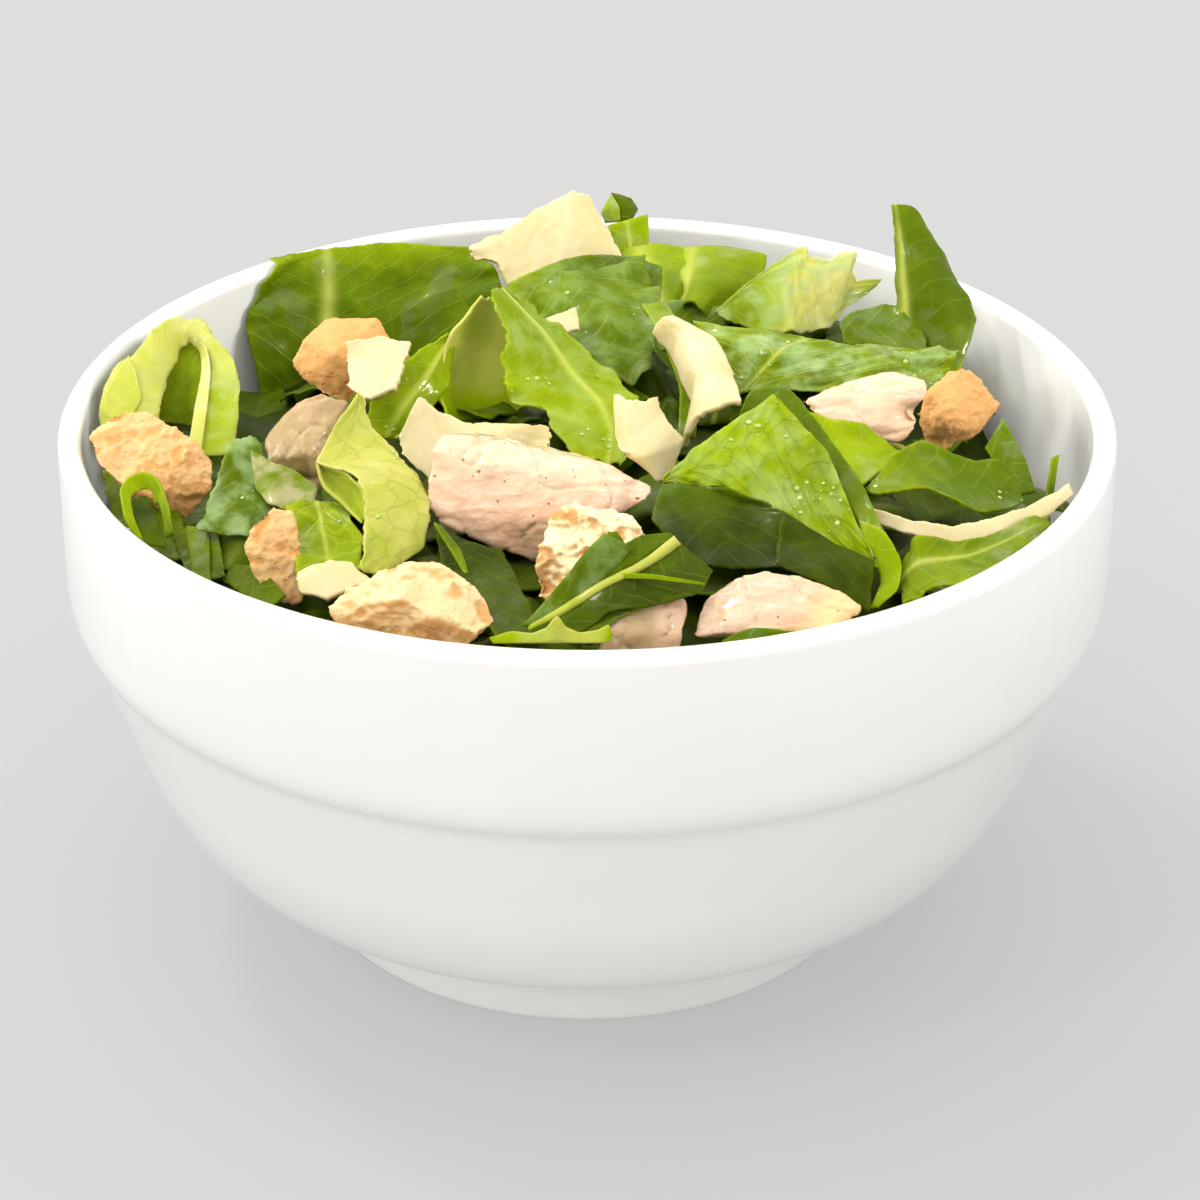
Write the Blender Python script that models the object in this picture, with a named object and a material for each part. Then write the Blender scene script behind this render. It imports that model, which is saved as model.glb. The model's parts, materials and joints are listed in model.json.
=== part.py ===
"""Chicken caesar salad in its footed porcelain bowl.

The bowl is turned, the heap of leaves is one solid, and the chicken, croutons
and parmesan lie in hollows of the heap with a small gap all round.
The frame has its origin at the centre of the foot's underside, Z up,
X across the dish and Y towards its back. Lengths below are in millimetres.
"""

import math
from collections import namedtuple

import bmesh
import bpy
from mathutils import Vector

MM = 0.001
SEAM = 0.01
SLIVER = 0.002

# Driving dimensions of the bowl.
BOWL_RADIUS = 70.0
RIM_ROUND = 1.6
RIM_HEIGHT = 72.3
BAND_FOOT = 47.7
BAND_STEP = 1.8
FOOT_RADIUS = 37.6
FOOT_HEIGHT = 5.2
FOOT_RING_WIDTH = 4.2
FOOT_RECESS = 2.6
FOOT_EDGE = 0.8
FOOT_FLARE = 0.7
BAND_EDGE = 0.5
BAND_MIDDLE = 60.0
BOWL_TURNS = 48

# Curves of the bowl's body below the band and of its inside, as radius and height.
BODY_CURVE = [(68.0, 46.6), (64.2, 35.5), (60.6, 25.5), (55.2, 17.0), (47.0, 11.0), (38.9, 6.2)]
INSIDE_CURVE = [(66.8, 70.7), (65.6, 60.0), (63.4, 47.5), (59.6, 35.5), (55.3, 25.5), (49.3, 17.0),
                (40.0, 11.5), (24.0, 8.8)]
FLOOR_HEIGHT = 8.0
BODY_STEPS = 7
INSIDE_STEPS = 7
RIM_STEPS = 4

# Fits between the pieces.
GAP = 0.35
WALL_GAP = 0.5
ROOM_RADIUS = 74.0
ROOM_HEIGHT = 110.0
LEAF_THICKNESS = 2.2
SHAVING_THICKNESS = 1.3
LEAST_HALF_WIDTH = 0.9
SHARE_STEP = 0.01

# A hollow is its piece spread by this many gaps each way, which leaves at least a gap on slanting faces.
HOLLOW_SPREAD = 1.7
SIX_WAYS = [(1, 0, 0), (-1, 0, 0), (0, 1, 0), (0, -1, 0), (0, 0, 1), (0, 0, -1)]

# The mound under the leaves follows them at this depth.
MOUND_DROP = 2.6
MOUND_REACH = 6.0
MOUND_EDGE = 61.0
MOUND_RISE = 4.0
MOUND_WEIGHT = 0.3
MOUND_TOP = 76.0
MOUND_FOOT = 2.0
MOUND_RINGS = 8
MOUND_TURNS = 32

# Dips where the inner wall lies bare: place, depth and reach.
DIPS = [((58, 13), 13, 8), ((-50, 36), 9, 6)]

Sheet = namedtuple("Sheet", "spine left right side")
Chunk = namedtuple("Chunk", "at corners")

# Leaves: middle line, half widths on each side of it, and the way the right half points.
LEAVES = {
    "back_left": Sheet([(-46.5, 40, 66), (-42, 47, 67), (-29, 50, 66.5), (-14, 44, 66)],
                       [11, 10, 10, 10], [10, 8.5, 9, 8.5], (0, 0.1, 1)),
    "left_lobe": Sheet([(-60, 11, 62), (-60, 16, 70), (-57.5, 24, 75)], [6, 5, 2.5], [4, 5.5, 4.5],
                       (0.9, 0.3, -0.1)),
    "left_curl": Sheet([(-50.5, 11, 60), (-50, 17, 66), (-51, 21, 72)], [3, 3, 2], [3, 3, 2], (1, 0, 0)),
    "tent_left": Sheet([(-19, 4, 79), (-24, -2, 77), (-28, -6, 71)], [2, 5, 2], [2, 4, 2],
                       (0.6, -0.5, -0.5)),
    "tent_back": Sheet([(-13, 12, 83.5), (-13, 9, 76), (-13, 1, 69)], [1.5, 5.5, 8], [2.5, 4, 8],
                       (1, 0, 0)),
    "tent_right": Sheet([(-10, 12, 84), (-6, 5, 81), (-2, -2, 75), (1, -7, 68)],
                        [0.5, 4, 6.5, 9.5, 4.5, 4], [0.5, 4, 7, 3.7], (1, 0.1, 0.1)),
    "back_middle": Sheet([(-6, 27, 80), (4, 25, 78), (10, 17, 74), (13, 9, 67)], [4, 5, 4, 1.5],
                         [3, 9, 9, 2], (-0.5, -0.7, -0.3)),
    "back_tip": Sheet([(8, 46, 66), (6, 53, 77), (5, 55, 81)], [3, 3, 2], [3, 2.5, 2], (1, 0, 0)),
    "back_ribbed": Sheet([(12, 36, 68), (14, 42, 73), (16, 48, 76.5)], [2, 7, 8], [2, 8, 10], (1, 0, 0)),
    "back_frilly": Sheet([(16, 35, 70), (27, 39, 71), (40, 42, 73)], [4, 7, 4], [1.5, 5, 4], (0, 0.5, 0.8)),
    "standing": Sheet([(50, 25, 60), (50, 28, 68), (47, 32, 77), (44, 36, 86.5)], [4, 5, 4, 1.8],
                      [5, 5.5, 4.8, 1.8], (1, -0.3, 0)),
    "right_back": Sheet([(15, 20, 76), (24, 12, 74), (36, 15, 74), (49.5, 15.5, 73)], [1, 5, 4, 2],
                        [1, 4, 3, 2], (0, 1, 0.3)),
    "right_far": Sheet([(33, 26, 71), (41, 30, 72), (48, 26, 70)], [3, 4, 3], [2, 2, 1], (0, 0.8, 0.6)),
    "big_fold": Sheet([(9, -29, 77), (16, -26, 79), (24, -26, 78.5), (31, -33, 75.5), (36, -42, 71)],
                      [0.5, 5, 7.3, 5, 1], [0.5, 4, 8.5, 5.5, 1], (0.1, 0.95, 0.32)),
    "fold_back": Sheet([(33, -31, 76), (37, -38, 71.5), (36, -44, 66)], [1, 2.5, 2], [1, 2.5, 2], (1, 0, 0)),
    "right_bright": Sheet([(24, -12, 79), (34, -16, 76), (37, -23, 73)], [1.5, 3, 2], [1.5, 5, 3],
                          (0.7, 0.6, 0.1)),
    "right_middle": Sheet([(36, -24, 72.5), (42, -20, 72.5), (49, -21, 70), (55, -20, 69)],
                          [1, 2, 2.5, 2], [0.5, 3.5, 2.5, 1], (0, 0.9, 0.3)),
    "right_wall": Sheet([(56, 1, 69), (57.5, -8, 67), (58, -17, 65)], [0.5, 3, 3], [0.5, 1.5, 1],
                        (1, 0, 0.2)),
    "right_front": Sheet([(40, -42, 68), (49, -37, 69), (58, -29, 69.5)], [5, 5, 2], [4, 4, 1],
                         (0, 0.9, 0.3)),
    "dark_centre": Sheet([(8, -31, 72), (15, -33, 71), (23, -35, 69)], [3, 8, 6], [3, 6, 6],
                         (0.2, 0.9, 0.3)),
    "dark_front": Sheet([(26, -34, 69), (31, -40, 68), (35, -46, 66)], [5, 6, 2], [4, 4, 2],
                        (0.5, 0.8, 0.3)),
    "front_middle": Sheet([(-7, -57, 69.5), (0, -53, 73), (9, -48, 76)], [0.5, 4, 5], [0.5, 5, 0.8],
                          (-0.5, 0.5, 0.7)),
    "heart": Sheet([(-29, -22, 84), (-28, -26, 80.5), (-25, -31, 77), (-24, -39, 74), (-24, -46, 70)],
                   [1, 5, 8.5, 5, 4], [1.2, 2.5, 4.5, 5, 3], (1, 0, 0.1)),
    "veined": Sheet([(-34, -32, 75), (-33, -38, 73), (-34, -45, 70)], [3, 4.5, 3], [4, 4, 4], (1, 0, 0)),
    "frosted": Sheet([(-44, -21, 77.5), (-45, -25, 74), (-46, -30, 69)], [1, 3.5, 4.5], [1, 4.5, 5],
                     (1, 0, 0)),
    "left_low": Sheet([(-61, -11, 65), (-59, -20, 65.5), (-53, -31, 65.5)], [2, 3, 2], [3, 5, 4],
                      (0.8, 0.4, 0.2)),
    "front_left_low": Sheet([(-52, -26, 64), (-43, -38, 66)], [3, 3], [3, 3], (0.8, 0.4, 0.2)),
}

# Leaves that lie clear of the mound stand on a stalk, at this share of their length.
STALKS = {"right_back": 0.6, "front_middle": 0.5, "right_middle": 0.5, "heart": 0.8}
STALK_WIDTH = 4.0
STALK_LENGTH = 12.0

# Chicken: diced pieces of breast, as a place and the corners of the piece around it.
CHICKEN = {
    "chicken_centre": Chunk((-6, -27, 73), [
        (-12.5, 2, 7.4), (-13.8, -1, 6.3), (-14.2, -4, -0.6), (-12.5, -4.5, -2.5), (-0.8, -4, -8.4),
        (2.7, 2, 4.2), (7.7, 2, 3.2), (12.8, 1, 1.5), (14.7, 0, 0.5), (13.8, -2, -0.2), (7.7, -4, -2),
        (5, -3, -6), (-8, 7, 5), (5, 7, 2), (12, 4, -2), (-12, 6, 0), (-8, 4, -6), (4, 4, -7)]),
    "chicken_right": Chunk((35.4, -9, 76), [
        (-8, 0, 1.3), (-1, 3, 3.1), (4.8, 4, 4), (8, 3, 3.9), (9, 1, 3.4), (7.8, -2, -0.9),
        (5.5, -3, -3.3), (1.5, -3, -3.1), (-4.3, -2.5, -1.1), (-4, 4, 0), (4, 5, 0), (7, 3, -2),
        (-2, 3, -3)]),
    "chicken_front_right": Chunk((21.5, -54.2, 72.3), [
        (0, 1, 3.1), (-3.7, 1, 1.9), (-7.6, 0, -0.8), (-8.9, -3, -4.1), (4.1, 1, 1.8), (9.5, 1, 0),
        (11.8, 0, -1.6), (-6, -4, -3), (7, -4, -3), (-6, -2, -5), (8, -1, -5), (-5, 5, -2),
        (6, 5, -2), (0, 5, 0)]),
    "chicken_front": Chunk((5.0, -56.6, 70.4), [
        (-3.5, -2, -1.3), (-2, 0, 0.5), (1.3, 1, 2), (4.7, 1.5, 2.5), (7, 1.5, 2), (-4, -2, -4),
        (6, -2, -4), (6.5, -2, -1), (-2, 4, -1), (5, 4, -1), (6, 3, -3)]),
    "chicken_back_left": Chunk((-38, -5, 71), [
        (-4.7, 0, -0.9), (-2.6, 1, 1.6), (0.3, 2, 3.7), (2.9, 3, 4.7), (6.6, 2, 3.7), (6.9, 0, -1),
        (4.9, -3, -5.3), (2.9, -4, -7.4), (-1.7, -4, -5.5), (-4.2, -3, -2.7), (1, -5, -1), (0, 6, 0),
        (5, 6, 1), (3, 5, -4)]),
}

# Croutons: torn lumps of toasted bread.
CROUTONS = {
    "crouton_left": Chunk((-54.5, -15.5, 72.6), [
        (-10, 1, 2.1), (-7.2, 5, 3.9), (-3.1, 5, 4.3), (1.5, 3, 2.3), (4.6, 2, 0.6), (6.4, 1, -1.2),
        (6, -1, -4.1), (3.3, -2, -7.9), (1.6, -2.5, -8), (-1, -4, -4.1), (-6.6, -3, -2.1),
        (-9, -1.5, 0), (-4, 0, -5), (2, 2, -5)]),
    "crouton_front_left": Chunk((-38.5, -40.5, 70.5), [
        (-3.6, 0, 1.9), (-2.5, 1, 4.5), (-0.3, 2, 5.9), (1.9, 2, 5.5), (3.2, 0, 2), (4, -1, -3.1),
        (2.8, -2, -5.4), (-0.9, -2, -4.7), (-2.9, -1.5, -1.9), (-2, 4, -1), (2, 4, -1), (1, 4, 3)]),
    "crouton_front": Chunk((-20.5, -54.3, 72), [
        (-11, -2, -0.2), (-8.3, 0, 1.2), (-4.5, 2, 2.9), (0.3, 3, 3.9), (2.9, 3, 3.5), (6.3, 2, 1.5),
        (8.7, 1, -0.7), (9.4, -1, -3), (7.5, -3, -3.5), (-2, -3.5, 1.7), (-8, -3, -4), (6, -3, -5),
        (-6, 3, -4), (7, 3, -4)]),
    "crouton_centre": Chunk((1, -43.5, 73.5), [
        (-5.3, 2, 3.7), (-2.1, 2.5, 4.2), (1.8, 2.5, 4), (4.5, 2, 3.2), (7, 1, 0.6), (-6.1, -1, 0.6),
        (-7.6, -2, -2), (-7.2, -3, -5.6), (-4.3, -3.5, -5.6), (1, -3, -2), (-4, 4, -1), (5, 4, -1),
        (0, 3, -5), (6, 0, -3)]),
    "crouton_back_left": Chunk((-34, 8, 75.5), [
        (-5.8, 0, 0), (-4.2, 1, 2.6), (-1.5, 3, 4.7), (2.5, 3.5, 5.5), (5.8, 3, 5), (7.5, 2, 2.5),
        (6, -1, -2), (1.6, -2, -5.4), (-2, -2, -4), (-4.6, -1, -2), (0, -2.5, 2.2), (0, 6, 0),
        (4, 6, 1)]),
    "crouton_right": Chunk((49.8, -0.5, 73.2), [
        (-6.4, -1, -1.1), (-4.6, 0, 1.9), (-1.6, 2, 3.9), (-0.4, 2, 4.6), (2.6, 2, 2.4), (5.3, 1, -0.6),
        (3.9, -0.5, -2.2), (0.4, -2, -4.8), (-2.7, -2, -6.4), (-5.2, -2, -5.2), (-2, -4, -0.5),
        (0, 5, 0), (-3, 4, -3), (3, 4, -3)]),
}

# Parmesan: thin shavings, laid out as the leaves are.
PARMESAN = {
    "parmesan_back": Sheet([(-14, 46, 75.5), (-4, 46, 78), (4, 46, 78.5)], [2.5, 5, 6], [2, 5, 4.5],
                           (0.3, 0.3, 1)),
    "parmesan_left": Sheet([(-31, -4, 81.5), (-24.5, -5, 82)], [3.5, 4], [1.5, 1.5], (0, 0.6, 0.8)),
    "parmesan_middle": Sheet([(-23, -12, 75), (-14, -9, 74.5), (-5.5, -7.5, 72.5)], [4, 2, 1.5],
                             [3, 2, 1.5], (0, 0.6, 0.8)),
    "parmesan_chip": Sheet([(-5, 16.5, 78.5), (-1, 16.5, 79)], [1, 1.5], [0.9, 1.5], (0, 0.3, 1)),
    "parmesan_curved": Sheet([(11, 12, 80), (16, 5, 78.5), (18, -4, 74)], [2, 4, 4], [2, 2.5, 2.5],
                             (0.9, 0.3, 0.2)),
    "parmesan_upright": Sheet([(7.3, -19.5, 75), (7.3, -18.5, 84)], [3, 3], [4, 2], (1, -0.2, 0)),
    "parmesan_front_left": Sheet([(-35.5, -48, 73.5), (-28.5, -46, 76)], [1.5, 2.5], [1.5, 2],
                                 (0, 0.8, 0.4)),
    "parmesan_ribbon": Sheet([(36, -30, 73), (42, -33.5, 72.5), (48, -33, 72), (55, -28, 72),
                              (60.5, -22.5, 73)], [1, 1.2, 1.2, 1.2, 1], [1, 1.2, 1.2, 1.2, 1],
                             (0, 0.7, 0.7)),
}

# Surface of each material: colour, roughness, coat.
FINISHES = {
    "glazed_porcelain": ((0.88, 0.87, 0.85), 0.12, 0.6),
    "romaine": ((0.16, 0.27, 0.01), 0.4, 0.2),
    "chicken": ((0.93, 0.70, 0.47), 0.42, 0.1),
    "crouton": ((0.80, 0.52, 0.21), 0.85, 0.0),
    "parmesan": ((0.93, 0.80, 0.47), 0.55, 0.0),
}


def clear_scene():
    """Remove every object of the open scene."""
    for item in list(bpy.data.objects):
        bpy.data.objects.remove(item, do_unlink=True)


def finish(name):
    """The named material, made once."""
    material = bpy.data.materials.get(name)
    if material:
        return material
    colour, roughness, coat = FINISHES[name]
    material = bpy.data.materials.new(name)
    material.use_nodes = True
    shader = material.node_tree.nodes["Principled BSDF"]
    shader.inputs["Base Color"].default_value = (*colour, 1.0)
    shader.inputs["Roughness"].default_value = roughness
    shader.inputs["Metallic"].default_value = 0.0
    shader.inputs["Coat Weight"].default_value = coat
    return material


def add_object(name, shape, material, sharp=45):
    """Make an object in metres from a mesh built in millimetres, and free the builder."""
    bmesh.ops.recalc_face_normals(shape, faces=shape.faces)
    bmesh.ops.scale(shape, vec=(MM, MM, MM), verts=shape.verts)
    mesh = bpy.data.meshes.new(name)
    shape.to_mesh(mesh)
    shape.free()
    mesh.shade_smooth()
    mesh.set_sharp_from_angle(angle=math.radians(sharp))
    mesh.materials.append(finish(material))
    item = bpy.data.objects.new(name, mesh)
    bpy.context.scene.collection.objects.link(item)
    return item


def as_cutter(item, group):
    """Keep an object out of the model and put it in a group of Boolean operands."""
    bpy.context.scene.collection.objects.unlink(item)
    group.objects.link(item)
    item.hide_render = True
    item.display_type = "WIRE"


def through(points, share):
    """Place a share of the way along a smooth curve through the points."""
    spans = len(points) - 1
    place = min(max(share, 0.0), 1.0) * spans
    first = min(int(place), spans - 1)
    along = place - first
    before = points[first - 1] if first else 2 * points[0] - points[1]
    beyond = points[first + 2] if first + 2 <= spans else 2 * points[-1] - points[-2]
    start, end = points[first], points[first + 1]
    return 0.5 * (2 * start + (end - before) * along
                  + (2 * before - 5 * start + 4 * end - beyond) * along ** 2
                  + (3 * start - before - 3 * end + beyond) * along ** 3)


def arc(centre, radius, start, end, steps):
    """Points of an arc in a profile, angles in degrees from the outward direction."""
    angles = [math.radians(start + (end - start) * k / steps) for k in range(steps + 1)]
    return [(centre[0] + radius * math.cos(a), centre[1] + radius * math.sin(a)) for a in angles]


def curve(points, steps):
    """Points of a smooth profile curve."""
    line = [Vector(p) for p in points]
    return [tuple(through(line, k / steps)) for k in range(steps + 1)]


def turned(profile, turns):
    """Closed body made by turning a profile that starts and ends on the axis."""
    shape = bmesh.new()
    line = [shape.verts.new((radius, 0, height)) for radius, height in profile]
    edges = [shape.edges.new(pair) for pair in zip(line, line[1:])]
    bmesh.ops.spin(shape, geom=line + edges, axis=(0, 0, 1), cent=(0, 0, 0), steps=turns,
                   angle=math.tau, use_merge=True)
    bmesh.ops.remove_doubles(shape, verts=shape.verts, dist=SEAM)
    return shape


def bowl():
    """Bowl with a rounded rim, a band that steps in to the body, and a foot ring."""
    foot_inside = FOOT_RADIUS - FOOT_RING_WIDTH
    under = [(0, FOOT_RECESS), (foot_inside - FOOT_EDGE, FOOT_RECESS), (foot_inside, 0)]
    foot = [(FOOT_RADIUS, 0), (FOOT_RADIUS + FOOT_FLARE, FOOT_EDGE),
            (FOOT_RADIUS + FOOT_FLARE, FOOT_HEIGHT)]
    body = curve(BODY_CURVE, BODY_STEPS)[::-1]
    band = [(BOWL_RADIUS - BAND_STEP / 2, BAND_FOOT - BAND_EDGE), (BOWL_RADIUS, BAND_FOOT + BAND_EDGE),
            (BOWL_RADIUS, BAND_MIDDLE)]
    rim = arc((BOWL_RADIUS - RIM_ROUND, RIM_HEIGHT - RIM_ROUND), RIM_ROUND, 0, 180, RIM_STEPS)
    inside = curve(INSIDE_CURVE, INSIDE_STEPS)[1:]
    profile = under + foot + body + band + rim + inside + [(0, FLOOR_HEIGHT)]
    return add_object("bowl", turned(profile, BOWL_TURNS), "glazed_porcelain", 35)


def inside_radius(height):
    """Inner radius of the bowl at a height."""
    for (wide, top), (narrow, low) in zip(INSIDE_CURVE, INSIDE_CURVE[1:]):
        if height >= low:
            share = min((height - low) / (top - low), 1.0)
            return narrow + (wide - narrow) * share
    return 0.0


def envelope():
    """Room for the salad: the bowl's inside less a gap, opening out above the rim."""
    inside = [(radius - WALL_GAP, height) for radius, height in curve(INSIDE_CURVE, INSIDE_STEPS)]
    above = [(0, ROOM_HEIGHT), (ROOM_RADIUS, ROOM_HEIGHT), (ROOM_RADIUS, RIM_HEIGHT + 2 * GAP),
             (inside[0][0], RIM_HEIGHT + GAP)]
    profile = above + inside + [(0, FLOOR_HEIGHT + WALL_GAP)]
    return add_object("envelope", turned(profile, BOWL_TURNS), "romaine")


def mound_height(x, y):
    """Height of the mound, which passes a little below the leaves near the place."""
    edge = min(math.hypot(x, y) / inside_radius(RIM_HEIGHT), 1.0)
    total = MOUND_WEIGHT * (MOUND_EDGE + MOUND_RISE * (1 - edge ** 2))
    weight = MOUND_WEIGHT
    for leaf in LEAVES.values():
        for px, py, pz in leaf.spine:
            near = math.exp(-((x - px) ** 2 + (y - py) ** 2) / (2 * MOUND_REACH ** 2))
            total += near * min(pz - MOUND_DROP, MOUND_TOP)
            weight += near
    height = total / weight
    for (px, py), depth, reach in DIPS:
        height -= depth * math.exp(-((x - px) ** 2 + (y - py) ** 2) / (2 * reach ** 2))
    return height


def mound():
    """Body of the heap, from the bowl's floor up to the mound's uneven top."""
    shape = bmesh.new()
    reach = inside_radius(RIM_HEIGHT) + 2
    rows = []
    for ring in range(1, MOUND_RINGS + 1):
        radius = reach * ring / MOUND_RINGS
        places = [(radius * math.cos(a), radius * math.sin(a))
                  for a in (math.tau * k / MOUND_TURNS for k in range(MOUND_TURNS))]
        rows.append([shape.verts.new((x, y, mound_height(x, y))) for x, y in places])
    rows.append([shape.verts.new((v.co.x, v.co.y, MOUND_FOOT)) for v in rows[-1]])
    for inner, outer in zip(rows, rows[1:]):
        for k in range(MOUND_TURNS):
            after = (k + 1) % MOUND_TURNS
            shape.faces.new((inner[k], outer[k], outer[after], inner[after]))
    for ring, height in ((rows[0], mound_height(0, 0)), (rows[-1], MOUND_FOOT)):
        middle = shape.verts.new((0, 0, height))
        for k in range(MOUND_TURNS):
            shape.faces.new((ring[k], ring[(k + 1) % MOUND_TURNS], middle))
    return add_object("salad_heap", shape, "romaine", 30)


def sheet_frame(sheet, share):
    """Middle point, sideways direction and normal of a sheet at a share of its length."""
    spine = [Vector(p) for p in sheet.spine]
    middle = through(spine, share)
    forward = (through(spine, share + SHARE_STEP) - through(spine, share - SHARE_STEP)).normalized()
    side = Vector(sheet.side)
    side = (side - forward * side.dot(forward)).normalized()
    return middle, side, forward.cross(side)


def sheet_body(sheet, thickness, grow=0.0, rows=5, cols=2):
    """Closed slab that follows a sheet."""
    shape = bmesh.new()
    layers = {1: [], -1: []}
    for row in range(rows + 1):
        share = row / rows
        middle, side, normal = sheet_frame(sheet, share)
        left = max(through(sheet.left, share), LEAST_HALF_WIDTH) + grow
        right = max(through(sheet.right, share), LEAST_HALF_WIDTH) + grow
        if grow and row in (0, rows):
            before = sheet_frame(sheet, 0.5 / rows if row == 0 else 1 - 0.5 / rows)[0]
            middle = middle + (middle - before).normalized() * grow
        for face, lines in layers.items():
            lift = normal * face * (thickness / 2 + grow)
            lines.append([shape.verts.new(middle + lift + side * (left + right) * (col / cols)
                                          - side * left) for col in range(cols + 1)])
    top, bottom = layers[1], layers[-1]
    for row in range(rows):
        for col in range(cols):
            shape.faces.new((top[row][col], top[row][col + 1], top[row + 1][col + 1], top[row + 1][col]))
            shape.faces.new((bottom[row][col], bottom[row + 1][col], bottom[row + 1][col + 1],
                             bottom[row][col + 1]))
    rim_top = ([(0, col) for col in range(cols)] + [(row, cols) for row in range(rows)]
               + [(rows, col) for col in range(cols, 0, -1)] + [(row, 0) for row in range(rows, 0, -1)])
    for (r0, c0), (r1, c1) in zip(rim_top, rim_top[1:] + rim_top[:1]):
        shape.faces.new((top[r0][c0], bottom[r0][c0], bottom[r1][c1], top[r1][c1]))
    bmesh.ops.triangulate(shape, faces=shape.faces)
    return shape


def stalk_body(sheet, share):
    """Square stalk from the middle of a leaf down into the mound."""
    shape = bmesh.new()
    bmesh.ops.create_cube(shape, size=1.0)
    middle = sheet_frame(sheet, share)[0]
    for vert in shape.verts:
        vert.co.x *= STALK_WIDTH
        vert.co.y *= STALK_WIDTH
        vert.co.z = (vert.co.z - 0.5) * STALK_LENGTH
        vert.co += middle
    return shape


def chunk_body(chunk, grow=0.0):
    """Lump with flat faces between its corners, let out on every side to make room for it."""
    shape = bmesh.new()
    reach = grow * HOLLOW_SPREAD
    ways = [Vector(way) * reach for way in SIX_WAYS] if grow else [Vector()]
    for corner in chunk.corners:
        for way in ways:
            shape.verts.new(Vector(chunk.at) + Vector(corner) + way)
    made = bmesh.ops.convex_hull(shape, input=shape.verts, use_existing_faces=False)
    spare = [part for part in made["geom_interior"] if isinstance(part, bmesh.types.BMVert)]
    bmesh.ops.delete(shape, geom=spare, context="VERTS")
    return shape


def toppings():
    """Chicken, croutons and parmesan, and the group of hollows they leave in the heap."""
    hollows = bpy.data.collections.new("hollows")
    for chunks, material in ((CHICKEN, "chicken"), (CROUTONS, "crouton")):
        for name, chunk in chunks.items():
            add_object(name, chunk_body(chunk), material)
            as_cutter(add_object(name + ".hollow", chunk_body(chunk, GAP), material), hollows)
    for name, sheet in PARMESAN.items():
        add_object(name, sheet_body(sheet, SHAVING_THICKNESS), "parmesan")
        hollow = sheet_body(sheet, SHAVING_THICKNESS, GAP)
        as_cutter(add_object(name + ".hollow", hollow, "parmesan"), hollows)
    return hollows


def combine(item, operation, operand):
    """Boolean modifier with one object or a group of objects."""
    step = item.modifiers.new(operation.title(), "BOOLEAN")
    step.operation = operation
    step.solver = "EXACT"
    if isinstance(operand, bpy.types.Collection):
        step.operand_type = "COLLECTION"
        step.collection = operand
    else:
        step.object = operand


def keep_largest(item):
    """Apply the modifiers and leave only the biggest connected body."""
    graph = bpy.context.evaluated_depsgraph_get()
    mesh = bpy.data.meshes.new_from_object(item.evaluated_get(graph))
    shape = bmesh.new()
    shape.from_mesh(mesh)
    bmesh.ops.remove_doubles(shape, verts=shape.verts, dist=SLIVER * MM)
    bmesh.ops.dissolve_degenerate(shape, edges=shape.edges, dist=SLIVER * MM)
    waiting = set(shape.faces)
    bodies = []
    while waiting:
        body = {waiting.pop()}
        edge_faces = list(body)
        while edge_faces:
            face = edge_faces.pop()
            near = {other for edge in face.edges if len(edge.link_faces) == 2
                    for other in edge.link_faces} - body
            body |= near
            edge_faces.extend(near)
        waiting -= body
        bodies.append(body)
    bodies.sort(key=len)
    spare = [face for body in bodies[:-1] for face in body]
    bmesh.ops.delete(shape, geom=spare, context="FACES")
    loose = [edge for edge in shape.edges if not edge.link_faces]
    bmesh.ops.delete(shape, geom=loose, context="EDGES")
    bmesh.ops.triangulate(shape, faces=shape.faces)
    shape.to_mesh(mesh)
    shape.free()
    item.modifiers.clear()
    item.data = mesh


def salad_heap(hollows):
    """One solid of leaves: mound and slabs, held inside the bowl, with the hollows cut out."""
    slabs = bpy.data.collections.new("slabs")
    for name, sheet in LEAVES.items():
        as_cutter(add_object(name + ".slab", sheet_body(sheet, LEAF_THICKNESS), "romaine"), slabs)
    for name, share in STALKS.items():
        as_cutter(add_object(name + ".stalk", stalk_body(LEAVES[name], share), "romaine"), slabs)
    inside = envelope()
    as_cutter(inside, bpy.data.collections.new("room"))
    heap = mound()
    combine(heap, "UNION", slabs)
    combine(heap, "INTERSECT", inside)
    combine(heap, "DIFFERENCE", hollows)
    keep_largest(heap)


def main():
    clear_scene()
    bowl()
    salad_heap(toppings())


main()
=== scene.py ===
"""Chicken caesar salad in its footed bowl: glazed porcelain, romaine, chicken, croutons and parmesan."""

import json
import math
import random
from collections import namedtuple

import bmesh
import bpy
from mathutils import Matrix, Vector, noise
from mathutils.bvhtree import BVHTree

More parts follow.
